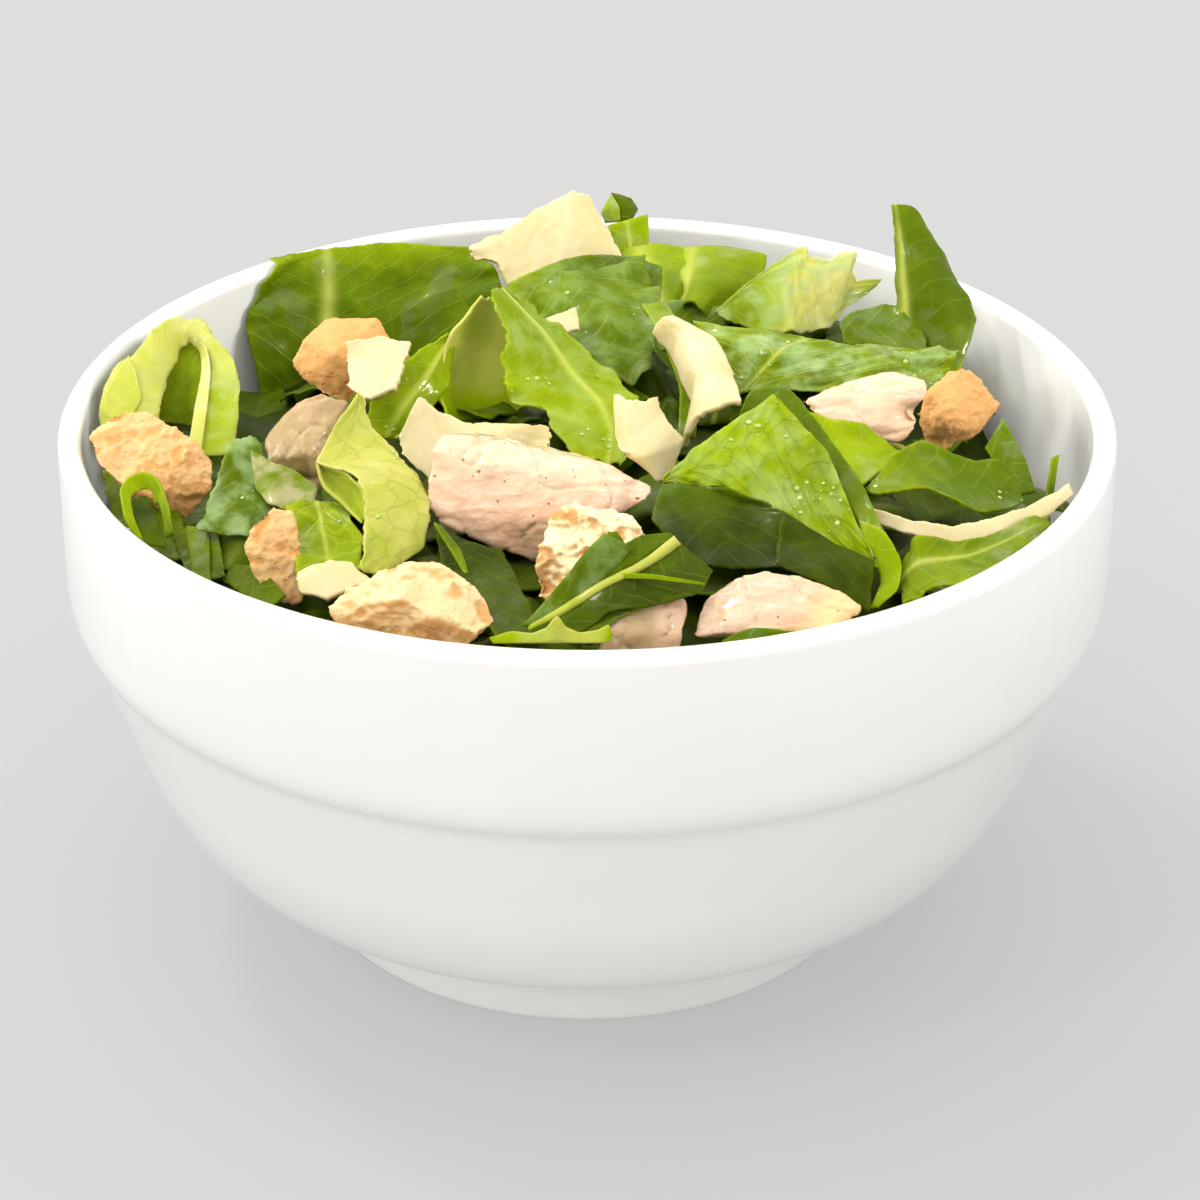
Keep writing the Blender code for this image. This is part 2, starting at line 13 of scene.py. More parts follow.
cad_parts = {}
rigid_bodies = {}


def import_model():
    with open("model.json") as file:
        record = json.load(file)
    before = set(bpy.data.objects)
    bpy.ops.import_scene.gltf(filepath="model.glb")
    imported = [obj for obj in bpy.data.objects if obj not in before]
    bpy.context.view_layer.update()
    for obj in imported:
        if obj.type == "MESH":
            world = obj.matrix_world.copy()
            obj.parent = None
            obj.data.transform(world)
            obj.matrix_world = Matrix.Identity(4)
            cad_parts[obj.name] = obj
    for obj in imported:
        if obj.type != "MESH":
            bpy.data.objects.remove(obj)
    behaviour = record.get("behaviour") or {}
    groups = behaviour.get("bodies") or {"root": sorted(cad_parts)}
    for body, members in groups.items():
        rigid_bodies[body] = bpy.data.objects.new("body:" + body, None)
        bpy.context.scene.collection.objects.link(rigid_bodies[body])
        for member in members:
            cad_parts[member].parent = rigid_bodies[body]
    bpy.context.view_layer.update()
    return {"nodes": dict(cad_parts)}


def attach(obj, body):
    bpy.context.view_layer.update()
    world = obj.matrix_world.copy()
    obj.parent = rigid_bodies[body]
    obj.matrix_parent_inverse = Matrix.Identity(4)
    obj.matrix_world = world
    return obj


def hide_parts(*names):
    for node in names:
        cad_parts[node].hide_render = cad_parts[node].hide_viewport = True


bl_info = {
    "name": "Chicken Caesar Salad",
    "version": (1, 0, 0),
    "blender": (4, 5, 0),
    "location": "3D View > Sidebar > Salad",
    "description": "Builds the bowl, the leaves, the toppings and the dressing of a caesar salad",
    "category": "Object",
}

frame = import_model()
MM = 0.001
BODY = "root"
GOLDEN_ANGLE = 2.399963
TOWARD_VIEW = Vector((0, -0.88, 0.46))

# The bowl's outside below the band and its inside, as radius and height in millimetres.
BOWL_RADIUS = 70.0
RIM_HEIGHT = 72.3
RIM_ROUND = 1.6
FOOT_UNDER = [(0, 2.6), (30, 2.6), (32.2, 2.4), (33.0, 1.4), (33.4, 0.4), (33.8, 0)]
FOOT_OUTSIDE = [(37.2, 0), (37.9, 0.3), (38.25, 1.0), (38.3, 2.4), (38.2, 4.2), (38.4, 5.3), (39.2, 6.3)]
BODY_CURVE = [(39.2, 6.3), (47.0, 11.0), (55.2, 17.0), (60.6, 25.5), (64.2, 35.5), (67.4, 45.2)]
BAND_STEP = [(67.9, 46.2), (68.5, 47.0), (69.05, 47.8), (69.5, 48.8), (69.8, 50.2), (70, 52.4), (70, 60)]
INSIDE_CURVE = [(66.8, 70.7), (65.6, 60.0), (63.4, 47.5), (59.6, 35.5), (55.3, 25.5), (49.3, 17.0),
                (40.0, 11.5), (24.0, 8.8)]
FLOOR_HEIGHT = 8.0
BODY_STEPS = 30
INSIDE_STEPS = 40

# Room that the leaves keep from the inner wall, above the rim and from its outer edge, in millimetres.
WALL_GAP = 0.7
RIM_CLEARANCE = 0.6
EDGE_GAP = 1.0

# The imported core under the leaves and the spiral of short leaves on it, in millimetres.
CORE_RADIUS = 62.0
CORE_HIGHEST = 74.0
CORE_BELOW_LEAVES = 3.2
CORE_BOTTOM = 40.0
CORE_RINGS = 22
CORE_TURNS = 72
BESIDE_HEAP = 62.0
UNDER_LEAVES_RADIUS = 60.0
UNDER_LEAF_CELL = 1.0

SHAVING_CELL = 0.3
SHAVING_THICKNESS = 0.0009
CRUMB_VOXEL_SHARE = 0.75

# Smallest and largest radius of the drops and the pepper in millimetres, and how flat both lie.
DROP_SIZES = (0.08, 0.38)
PEPPER_SIZES = (0.05, 0.24)
FLATNESS = 0.35
DROP_LEAF_CELL = 1.2
DROP_SPREAD = 1.5
DROP_LIFT = 0.25

# What the settings' colours and strengths have in common.
COLOUR = {"size": 3, "subtype": "COLOR", "min": 0, "max": 1}
STRENGTH = {"min": 0, "max": 50}
CAMERA_SHIFT = 0.01058333

# What a leaf is made from. Tone runs from 0 dark to 1 pale along it, and on leaves that lie in
# shadow it is set low, painted shade; rib is the rib's place beside the middle line and its width, and
# ripple, teeth, drops, veins, crisp and frost say how wavy, how torn, how wet, how veined, how angular
# and how frosted it is, the frost on some leaves being a painted sheen. Veins below 0 are dark and sunk.
Leaf = namedtuple("Leaf", "left middle right tone rib ripple teeth drops veins crisp frost",
                  defaults=((0.3, 0.4), None, 0.4, 0.4, 0, 0.3, 0.5, 0.0))

# What a crouton is made from: the way that its crust faces, how much of it the crust covers, how
# ragged its crumb is, and how pale its crumb is on faces that turn up, partly its own colour and
# partly painted light from above.
Toast = namedtuple("Toast", "crust_way cover ragged pale")

# Leaves in front, in millimetres: left edge, middle line where the leaf has one, and right edge, each
# from the leaf's start to its end.
LEAVES = {
    # Tone low at its lower start: painted shade low down.
    "back_left": Leaf(
        left=[(-46.5, 38, 56), (-49, 42, 65), (-48.5, 47, 70), (-46, 50, 73)],
        middle=[(-37, 40, 55), (-37.5, 45, 64.5), (-37.5, 49, 69), (-38, 53, 73.5)],
        right=[(-15.5, 40, 58), (-12.5, 46, 67), (-13, 52, 70), (-17, 56, 72.5)],
        tone=(0.2, 0.28, 0.34, 0.5), rib=(0, 1.3), ripple=0.6, teeth=0.2, veins=0.25),
    "left_lobe": Leaf(
        left=[(-65, 0, 69.5), (-65.3, 4, 71.4), (-64, 10, 73.5), (-61.5, 13, 74.5), (-59.5, 17, 76),
              (-57.5, 21, 76.3), (-55, 23, 75.5), (-53, 23, 74.8), (-51.5, 20, 74.2), (-49.5, 16, 73.7),
              (-47.7, 12, 73.4), (-47, 8, 72.3), (-46.8, 3, 70), (-46.8, -3, 67)],
        middle=[(-61, -2, 68.8), (-60.5, 2, 70.8), (-59.8, 7, 72.3), (-59, 11, 73.4), (-57.8, 15, 74.4),
                (-56.4, 19.5, 74.7), (-54.9, 20.5, 74.4), (-53.3, 19.8, 74), (-52.3, 17.5, 73.4),
                (-51, 15, 73), (-49.9, 11, 72.4), (-49.7, 7, 71.4), (-49.6, 2, 69.6), (-49.8, -4, 67)],
        right=[(-57.5, 0, 68), (-57.2, 3, 70.2), (-57.2, 6, 71), (-57, 10, 71.5), (-56.4, 14, 72.2),
               (-55.6, 19, 72.7), (-54.8, 20, 72.8), (-53.7, 19, 72.7), (-53, 17, 72.5),
               (-52.4, 15, 72.2), (-52.2, 11, 72), (-52.3, 7, 71.3), (-52.5, 3, 70), (-52.8, -5, 67.5)],
        tone=(0.76, 0.84, 0.8, 0.88, 0.84, 0.74, 0.66, 0.72), teeth=0.5, veins=0.5, crisp=0.4,
        frost=0.2),
    "left_fold": Leaf(
        left=[(-59, 6, 67), (-59, 12, 70.5), (-57, 22, 74)],
        middle=[(-56, 10, 65.5), (-55.5, 15, 68.5), (-54.5, 24, 74)],
        right=[(-51, 6, 66), (-51.5, 12, 70), (-52, 22, 74)],
        tone=(0.4, 0.5, 0.66), ripple=0.2, teeth=0.1),
    "left_strip": Leaf(
        left=[(-53, -7, 66.8), (-52.6, 3, 70.4), (-52.3, 11, 72.2), (-53, 17, 72.7), (-54.2, 20, 73)],
        middle=None,
        right=[(-51.2, -7, 67), (-50.9, 3, 70.9), (-51.1, 11, 72.9), (-52.2, 17, 73.6),
               (-54, 20.6, 73.6)],
        tone=(0.8, 0.86, 0.86, 0.82, 0.8), ripple=0.1, teeth=0.1, veins=0.1, crisp=0),
    "left_outer": Leaf(
        left=[(-64.5, 0, 69.5), (-64.5, 5, 72.5), (-62, 11, 75)],
        middle=None,
        right=[(-60.8, 1, 70.8), (-59.8, 4, 72), (-61, 8, 74.4)],
        tone=(0.76, 0.82), ripple=0.15, teeth=0.2, crisp=0),
    "tent_left": Leaf(
        left=[(-18.5, 5, 81), (-24, -1, 79.5), (-28, -5, 76.5), (-29, -7, 73)],
        middle=[(-18.5, 5, 80), (-21.5, -1, 77), (-24.5, -5, 74.5), (-26.5, -8, 71.5)],
        right=[(-18, 6, 78.5), (-18.5, 0, 75.5), (-21.5, -4, 73), (-24.5, -7, 70.5)],
        tone=(0.5, 0.44), rib=(0, 0.5), ripple=0.5, teeth=0.5, drops=5),
    # Darker towards its lower end: painted shade.
    "tent_back": Leaf(
        left=[(-14, 9, 84.5), (-18, 5, 81), (-20, 1, 76.5), (-18.5, -3, 71.5)],
        middle=[(-13, 12, 83), (-14.5, 10, 77), (-15.5, 6, 73), (-14, 2, 69)],
        right=[(-11, 13, 83), (-10, 9, 77.5), (-9, 5, 72), (-6, 2, 68.5)],
        tone=(0.78, 0.77, 0.68, 0.42), ripple=0.3, teeth=0.3, veins=0.12),
    "tent_right": Leaf(
        left=[(-13, 9, 84.5), (-11, 4, 82), (-11, -1, 77.5), (-10.5, -3, 74.5), (-5.5, -5, 74),
              (-2, -9, 69)],
        middle=[(-12, 11, 84.5), (-8, 7, 80.5), (-5.5, 2, 76.5), (-3, -2, 74), (0.5, -5, 71.5),
                (1, -9, 68.5)],
        right=[(-11, 12, 84.5), (-5.5, 10, 80.5), (1, 8, 76), (6.5, 3, 72.5), (6, -2, 70), (4.5, -7, 67)],
        tone=(0.46, 0.5, 0.56, 0.64), rib=(3.4, 0.6), teeth=1.0, drops=36, veins=0.25, crisp=0.9,
        frost=0.2),
    "back_middle": Leaf(
        left=[(-10, 26, 77), (-4, 18, 75), (2, 9, 72.5)],
        middle=[(-3.5, 30, 79), (2, 22, 76.5), (5, 14, 74), (6, 8, 72.5)],
        right=[(7.5, 34, 79), (10.3, 28, 76), (10, 21, 74), (8, 16, 73)],
        tone=(0.35, 0.32, 0.29, 0.24), ripple=1.1, teeth=0.5, drops=14, frost=0.2),
    "back_gap": Leaf(
        left=[(6, 35, 71), (12, 36, 72.5), (19, 35, 72)],
        middle=None,
        right=[(7, 28, 68), (12, 29, 68), (20, 29, 68)],
        tone=(0.24, 0.34, 0.3), ripple=0.3, teeth=0.3, frost=0.3),
    "back_edge": Leaf(
        left=[(7.5, 25, 76.5), (10.5, 17, 74), (12.5, 8, 71), (12, 0, 67.5)],
        middle=None,
        right=[(11, 25, 77), (14, 16, 74), (15, 8, 70.5), (14.5, 0, 68)],
        tone=(0.42, 0.42, 0.36), ripple=0.3, teeth=0.3),
    "back_strip": Leaf(
        left=[(-11, 33, 76.5), (-7, 35, 77.5), (-3, 36, 78.8), (2, 36.5, 79.3), (7, 36, 79),
              (10.5, 35, 78)],
        middle=None,
        right=[(-11, 30, 75), (-7, 32, 76), (-3.5, 33, 77), (1.5, 33, 77), (6, 32.5, 76.5),
               (10.5, 32, 76)],
        tone=(0.46, 0.36, 0.26, 0.3), ripple=0.3, teeth=0.3, veins=0.2, frost=0.2),
    "back_tip": Leaf(
        left=[(4, 49, 72), (3, 54, 76.7)],
        middle=[(6.5, 49.5, 73), (5.5, 54, 77.4)],
        right=[(9, 49.5, 73), (8.8, 55, 78)],
        tone=(0.46, 0.56), rib=(0.2, 0.3), ripple=0.2, teeth=0.15, crisp=1),
    "tip_curl": Leaf(
        left=[(4.8, 57, 75.5), (4.6, 58, 77.5), (3.5, 60, 79.4)],
        middle=[(6.3, 57, 76), (6, 58.5, 78), (4.8, 60, 79)],
        right=[(6.3, 58, 75.5), (7.4, 60, 76.8), (6.4, 60, 78.5)],
        tone=(0.26, 0.3, 0.2), ripple=0.1, teeth=0.1, crisp=1),
    "tip_side": Leaf(
        left=[(2.6, 58, 75.5), (1.9, 58, 77.2), (3.4, 59.5, 79.2)],
        middle=None,
        right=[(4.8, 57, 76), (4.7, 58, 78), (3.6, 59.5, 79.2)],
        tone=(0.66, 0.6), ripple=0.05, teeth=0.1, crisp=1, frost=0.8),
    "ribbed_left": Leaf(
        left=[(5, 36, 69), (4.5, 42, 72), (5, 48, 74)],
        middle=[(10.5, 35.5, 72), (8.9, 42, 74.2), (7.2, 49, 75.7)],
        right=[(13, 36, 70.5), (14, 43, 73.4), (15.5, 50.5, 74.4)],
        tone=(0.42, 0.46, 0.56), rib=(0, 1.5), ripple=0.3, teeth=0.15, veins=0.2),
    "ribbed_right": Leaf(
        left=[(12, 36, 70), (13, 42, 73), (14.2, 50, 74.5)],
        middle=[(12.8, 35, 71.6), (14, 41.5, 73.8), (15.3, 49.5, 75)],
        right=[(18, 34, 68), (24.5, 42, 71), (26, 50, 73.6)],
        tone=(0.44, 0.46, 0.5), rib=(0, 1.5), teeth=0.2, veins=0.15),
    "back_frilly": Leaf(
        left=[(18, 31, 73.2), (22, 35, 75), (26, 40, 76.1), (29.2, 43, 76.7), (31.4, 44, 77.4),
              (31.6, 43, 76.2), (33.9, 43, 76), (36, 44, 76.5), (38.5, 44, 76.5), (37.8, 43, 74.3),
              (38.3, 43, 72.6), (42.4, 44.5, 72.4)],
        middle=[(18.2, 30.5, 73.1), (21.7, 33.8, 74), (25, 37, 74.8), (27.6, 38, 75), (29.3, 38.5, 75),
                (30.2, 38.5, 74.6), (32.2, 38.7, 74), (34.2, 39, 73.4), (36.2, 39.5, 72.8),
                (36.8, 40, 72.2), (37.5, 41, 71.4), (41, 43.2, 71.4)],
        right=[(18.3, 30, 72.8), (21, 31, 71.2), (23.8, 31, 70.4), (25.9, 31, 70), (27.3, 31, 69.9),
               (28.7, 31, 69.8), (30.6, 32, 69.4), (32.4, 33, 69), (34, 34, 68.9), (35.4, 36, 69.3),
               (36.7, 39, 69.8), (39.6, 42, 70.4)],
        tone=(0.46, 0.52, 0.68, 0.8, 0.86, 0.86, 0.8, 0.68), rib=(-4.0, 0.8), ripple=0.25,
        teeth=0.55, veins=0.5, crisp=1, frost=0.55),
    "standing": Leaf(
        left=[(42.5, 24, 65), (43, 29, 75.5), (43, 34, 82), (42.5, 37, 86.5)],
        middle=[(48, 22, 66), (47.5, 27, 76), (46, 33, 82), (44.5, 37, 86.5)],
        right=[(51.5, 21, 68), (54.6, 28.5, 73), (50.3, 34, 79), (46, 37, 86)],
        tone=(0.4, 0.3, 0.3, 0.36), rib=(-3.0, 0.7), ripple=0.3, teeth=0.15, veins=0.15,
        crisp=0.9),
    # Its frost is a painted sheen: pale patches for wet highlights.
    "right_back": Leaf(
        left=[(19, 12, 68), (15.5, 18, 72.5), (14.5, 22, 76)],
        middle=[(20.5, 9, 70.5), (25.5, 13, 74), (30, 18, 75)],
        right=[(46, 8, 70.5), (49.5, 12, 73), (50.5, 15, 74.5)],
        tone=(0.44, 0.46), rib=(0, 0.5), ripple=0.8, teeth=0.5, drops=60, veins=0.8, crisp=0.3,
        frost=0.6),
    "right_far": Leaf(
        left=[(35, 26, 73.5), (37.5, 28, 74.5), (41.5, 30, 74.5), (45, 28, 74), (47, 24, 72)],
        middle=None,
        right=[(35.5, 22, 72), (38.5, 22, 71), (41.5, 22, 71), (44.5, 22, 71), (47, 22, 71)],
        tone=(0.3, 0.34), teeth=0.3),
    # Its frost is partly a painted sheen of whitish patches.
    "big_fold": Leaf(
        left=[(9.5, -30, 76.5), (14.5, -27, 80), (23.5, -22, 84), (30, -30, 80), (35, -43, 71.5)],
        middle=[(9.5, -30, 76), (15, -30, 78.5), (23, -28, 80.5), (28, -34, 76.5), (35.5, -43, 71.5)],
        right=[(10, -30, 75.5), (17, -33, 76.5), (24, -37, 75), (31, -41, 72.5), (35.5, -44, 71)],
        tone=(0.51, 0.49, 0.47, 0.42), ripple=0.3, teeth=0.2, drops=44, veins=-0.9, crisp=0.85,
        frost=0.25),
    "fold_edge": Leaf(
        left=[(19.5, -16, 78.5), (21, -15, 81.5), (25.5, -17, 83), (29, -23, 81), (34, -32, 77),
              (36.5, -40, 74)],
        middle=None,
        right=[(20.5, -16, 77.5), (23, -18, 80), (25.5, -21, 80), (28, -26, 78.5), (32, -34, 75.5),
               (35.5, -42, 72.5)],
        tone=(0.24, 0.28, 0.34), ripple=0.2, teeth=0.3, veins=0.15),
    "fold_back": Leaf(
        left=[(33.5, -38, 74.5), (36.5, -41, 74.5), (38.5, -44, 71.5), (38, -47, 69.5), (35.5, -49, 68)],
        middle=None,
        right=[(34.5, -42, 72), (35.5, -43, 71), (36, -45, 69.5), (35.5, -47, 69), (34.5, -49, 68)],
        tone=(0.46, 0.5), ripple=0.2),
    "right_bright": Leaf(
        left=[(28, -10, 76.5), (32.5, -12, 76), (36, -12, 75.5)],
        middle=[(29, -13, 74.5), (33.5, -16, 74), (39, -14, 73.5)],
        right=[(31, -17, 73), (35, -24, 72.5), (41, -15, 73)],
        tone=(0.5, 0.56, 0.5), ripple=0.3, teeth=0.3),
    "right_middle": Leaf(
        left=[(35.5, -26, 73), (39, -22, 75.5), (43, -17, 75.5), (48, -18, 73.5), (52.5, -18, 73),
              (56, -20, 70.5)],
        middle=[(35.5, -26, 73), (39, -25, 74.2), (44, -22, 73), (48.5, -23, 71.6), (52.5, -23, 71.3),
                (55.5, -22, 70.2)],
        right=[(35.5, -27, 73), (39, -28, 73.4), (43.5, -27, 73.2), (48, -29, 71.6), (52, -28, 70.8),
               (56, -23, 69.5)],
        tone=(0.46, 0.42, 0.3, 0.25), ripple=0.3, drops=6, veins=0.2, crisp=0.2),
    "right_wall": Leaf(
        left=[(52, -10, 71), (54, -14, 69), (55, -18, 68)],
        middle=None,
        right=[(54.5, -6, 73.5), (57, -12, 70.5), (58, -18, 68.5)],
        tone=(0.4, 0.22), ripple=0.2, teeth=0.2),
    "right_tip": Leaf(
        left=[(59, -20, 68.5), (60, -16, 72.5)],
        middle=None,
        right=[(60, -19, 68.5), (61, -15, 72.5)],
        tone=(0.3, 0.5), ripple=0.1, teeth=0.1),
    "right_front": Leaf(
        left=[(39, -42, 70), (40.5, -40, 73), (48, -37, 71), (55.5, -31, 71), (58.5, -28, 70)],
        middle=[(38.5, -45, 69), (41, -44, 71), (47.5, -41, 70.5), (54.5, -35, 71), (58.5, -29, 70)],
        right=[(38.5, -49, 68.5), (41.5, -49, 70), (47.5, -46, 70.5), (54, -39, 70.5), (58.5, -30, 70)],
        tone=(0.36, 0.42, 0.4), rib=(-1, 0.5), ripple=0.5, teeth=0.3, veins=0.4),
    # Set near the darkest tone: painted shade under big_fold.
    "dark_centre": Leaf(
        left=[(9.5, -32, 76.5), (8, -38, 74.5), (12.5, -44, 71.5)],
        middle=[(13.5, -32, 76), (16, -37, 74), (18, -44, 70.5)],
        right=[(17.5, -34, 77), (25, -38, 75), (23.5, -45, 71.5)],
        tone=(0.2, 0.06, 0.0), ripple=0.5, teeth=0.3, veins=0.1),
    # Nearly the darkest tone: painted shade under big_fold.
    "dark_front": Leaf(
        left=[(24, -38, 75.5), (23, -45, 72)],
        middle=None,
        right=[(35, -44, 71.5), (34.5, -50, 68)],
        tone=(0.03, 0.1), ripple=0.7, teeth=0.3, veins=0.08),
    "front_edge": Leaf(
        left=[(-7.8, -58, 70.2), (-5, -55.5, 72.3), (-2.5, -53.5, 74.5), (-0.3, -52, 77), (2, -50, 78.5)],
        middle=None,
        right=[(-7, -58, 70), (-4, -57, 71), (-0.5, -55.5, 72.6), (3, -53, 75), (5.5, -50.8, 77)],
        tone=(0.32, 0.26, 0.22, 0.26), ripple=0.12, teeth=0.3, veins=0.2, crisp=1, frost=0.25),
    "front_upper": Leaf(
        left=[(-7, -57.5, 70), (-4.5, -56, 71.5), (-2, -54.5, 73), (1.5, -51.5, 77), (2.5, -49.5, 78.5),
              (3.5, -49.5, 78.5), (4.5, -49.5, 76.8), (6.5, -48.5, 77.4), (10, -48.5, 77.8)],
        middle=None,
        right=[(-7, -58, 70), (-4.8, -57, 70.8), (-2.6, -56, 71.8), (-0.4, -55, 72.8), (1.8, -54, 73.8),
               (4, -53, 74.8), (6.2, -51.7, 75.7), (8.4, -50.4, 76.6), (10.5, -49, 77.5)],
        tone=(0.12, 0.2, 0.26, 0.24, 0.2), ripple=0.1, teeth=0.1, veins=0.15, crisp=1),
    "front_lower": Leaf(
        left=[(-7, -58, 70), (-3.5, -56.4, 71.5), (0, -54.8, 73), (3.5, -53.2, 74.6), (7, -51.2, 76),
              (10.5, -49, 77.5)],
        middle=None,
        right=[(-7, -59, 69.5), (-1.5, -59.5, 69.5), (2.5, -58, 72), (7.5, -57.5, 72.8), (13, -57, 74),
               (15, -54, 75.5)],
        tone=(0.2, 0.14, 0.1, 0.16), ripple=0.3, teeth=0.3, veins=0.15, crisp=0.7),
    "front_rib": Leaf(
        left=[(-7, -58, 70.1), (-3.3, -56.4, 71.7), (1.6, -54.3, 74.1), (6.6, -52.2, 75.9),
              (10.5, -49.7, 78)],
        middle=[(-7, -58.5, 69.9), (-3.2, -57, 71.4), (1.8, -54.9, 73.8), (7, -52.8, 75.6),
                (11, -50.2, 77.5)],
        right=[(-7, -58.2, 69.6), (-3.1, -56.8, 71), (2, -54.7, 73.4), (7.2, -52.4, 75.1),
               (11.5, -49.7, 76.8)],
        tone=(0.68, 0.76, 0.8), ripple=0.03, teeth=0.1, veins=0.05, crisp=0.2),
    "front_branch": Leaf(
        left=[(4, -53.6, 75), (7.5, -55, 75.6), (10.5, -56, 75.6), (14, -56.6, 75.2)],
        middle=None,
        right=[(4, -53.8, 74.4), (7.5, -55.3, 75.1), (10.5, -56.3, 75.2), (14, -56.8, 75)],
        tone=(0.56, 0.4), ripple=0.02, teeth=0.02, veins=0, crisp=0.2),
    "front_under": Leaf(
        left=[(-3.5, -58, 69.5), (1.5, -56, 71.5), (6.5, -55, 72.5)],
        middle=None,
        right=[(0.5, -60, 69.5), (3.5, -58, 71), (7, -56.5, 72)],
        tone=(0.2, 0.36), ripple=0.2, teeth=0.3),
    "heart": Leaf(
        left=[(-29, -21, 84), (-32.5, -26, 80), (-34, -29, 78), (-30, -31, 77.5), (-28, -34, 77),
              (-27.5, -37, 75.5), (-27.5, -42, 74), (-28, -46, 72)],
        middle=[(-28.7, -21, 83.5), (-30, -24.7, 80), (-29, -27.5, 78), (-26, -29.7, 77),
                (-24, -32.5, 75.8), (-23.8, -36, 74.2), (-24, -40.5, 72.6), (-26.5, -46, 71)],
        right=[(-28.5, -20, 82.5), (-27.5, -23, 80.5), (-24, -25, 77.5), (-22, -27, 75.5),
               (-20, -30, 73.5), (-20, -34, 72), (-20.5, -38, 70.5), (-25, -45, 70.5)],
        tone=(0.78, 0.82, 0.86, 0.8, 0.76, 0.74), ripple=0.25, teeth=0.5, drops=8, veins=-0.4,
        crisp=0.6),
    "heart_fold": Leaf(
        left=[(-34, -29, 78), (-33, -31, 75.5), (-30, -34, 74), (-28, -37, 73.5)],
        middle=[(-33.6, -28, 77), (-31.5, -29, 75.5), (-29, -31, 74.5), (-27.6, -36, 73.5)],
        right=[(-33.8, -28.8, 78), (-30, -30.6, 77.3), (-28, -33.4, 76.4), (-27.5, -36.8, 75)],
        tone=(0.78, 0.74, 0.7), ripple=0.1, teeth=0.2, veins=0.2),
    "veined": Leaf(
        left=[(-38, -31, 73), (-36.5, -38, 71), (-35.5, -46, 70)],
        middle=[(-34, -30, 73), (-32.5, -37, 70.5), (-31.5, -45, 70)],
        right=[(-30.5, -31, 73), (-28, -38, 72), (-27.5, -44, 70.5)],
        tone=(0.56, 0.6, 0.62), rib=(0, 0.4), ripple=0.5, drops=4, veins=1.0),
    "frosted": Leaf(
        left=[(-46, -20, 76), (-47.5, -25, 72.5), (-49, -31, 69.5)],
        middle=[(-44, -18, 76.5), (-44.5, -24, 72.5), (-44.5, -31, 69)],
        right=[(-41.5, -20, 74), (-37.5, -26, 71.5), (-42, -31, 69)],
        tone=(0.36, 0.28, 0.22), ripple=0.8, teeth=0.7, drops=8, frost=0.68),
    "frosted_rib": Leaf(
        left=[(-43, -21, 76), (-40.2, -23, 75.2), (-37, -24.5, 74.6), (-34, -26.5, 73.6)],
        middle=None,
        right=[(-42, -26, 73), (-40, -29, 72), (-37.5, -29.5, 71.6), (-34.5, -29.5, 72.2)],
        tone=(0.4, 0.5), ripple=0.3, teeth=0.3, veins=0.1, frost=1.0),
    "loop": Leaf(
        left=[(-56.5, -32, 68.5), (-58.3, -30, 70.6), (-59, -27, 71.8), (-59.3, -25, 72.4),
              (-58.5, -23.5, 73.3), (-57, -23, 73.8), (-55.6, -23, 73.6), (-54.6, -24, 73.2),
              (-53.7, -26, 72.5), (-52.8, -29, 71.7), (-52, -32, 69.5)],
        middle=None,
        right=[(-55.8, -32, 68.5), (-57, -30, 70.2), (-57.7, -27.5, 71), (-58, -25.5, 71.4),
               (-57.3, -24.4, 71.7), (-56, -23.8, 71.8), (-55.2, -24.4, 71.4), (-55, -25.4, 70.3),
               (-54.3, -27, 71.5), (-53.6, -29.3, 70.8), (-53, -32, 69)],
        tone=(0.5, 0.56, 0.54, 0.44, 0.36), ripple=0.05, teeth=0.15, crisp=0.3),
    # A dark sheet in the loop's hollow: painted shade.
    "loop_inside_shade": Leaf(
        left=[(-57, -25, 71.2), (-57.6, -27.5, 70.4), (-57, -30, 69.4), (-56, -32, 68)],
        middle=None,
        right=[(-56, -25, 71.3), (-54.8, -27.5, 70.5), (-53.9, -30, 69.8), (-53, -33, 68)],
        tone=(0.1, 0.02, 0.1, 0.3), ripple=0.1, teeth=0.1, veins=0.05, crisp=0),
    "left_low": Leaf(
        left=[(-64, -8, 67), (-61.5, -18, 65.5), (-55.5, -30, 65)],
        middle=None,
        right=[(-57, -10, 68.5), (-52.5, -20, 66), (-50, -32, 66)],
        tone=(0.34, 0.26), ripple=0.5, teeth=0.3),
    "low_left": Leaf(
        left=[(-53.5, -24, 66), (-49.5, -38, 66)],
        middle=None,
        right=[(-47, -26, 68), (-45, -39, 67)],
        tone=(0.3, 0.2), ripple=0.5, teeth=0.3),
    "green_low": Leaf(
        left=[(-51, -27, 68), (-48.5, -42, 66)],
        middle=None,
        right=[(-48, -28, 68.5), (-46.5, -42, 66)],
        tone=(0.36, 0.28), teeth=0.2),
    "rim_left": Leaf(
        left=[(-45.5, -38, 66), (-43, -42, 66.5), (-39, -48, 67)],
        middle=None,
        right=[(-44, -36, 67), (-40.5, -39, 68), (-37, -46, 68)],
        tone=(0.24, 0.32), ripple=0.3, teeth=0.2),
    "front_spiky": Leaf(
        left=[(-11.6, -61, 70.1), (-9, -60.8, 70.9), (-6.5, -61, 70.7), (-4.8, -60.8, 71.4),
              (-3.6, -60.5, 73), (-2.6, -60.8, 71.5), (-1, -61, 70.8), (1.2, -60.8, 71),
              (2.6, -60.8, 71.9), (3, -61.2, 70.6)],
        middle=None,
        right=[(-11.2, -61.8, 69.9), (-9, -62, 70), (-6.5, -62, 70), (-4.8, -62, 70), (-3.6, -62, 70),
               (-2.6, -62, 70), (-1, -62, 70), (1.2, -62, 70), (2.2, -62, 70), (2.6, -61.8, 70)],
        tone=(0.56, 0.7, 0.78, 0.64), ripple=0.12, teeth=0.15, veins=0.1, crisp=1),
    "dark_low": Leaf(
        left=[(-19, -36, 72), (-17, -46, 69), (-10.5, -58, 68)],
        middle=None,
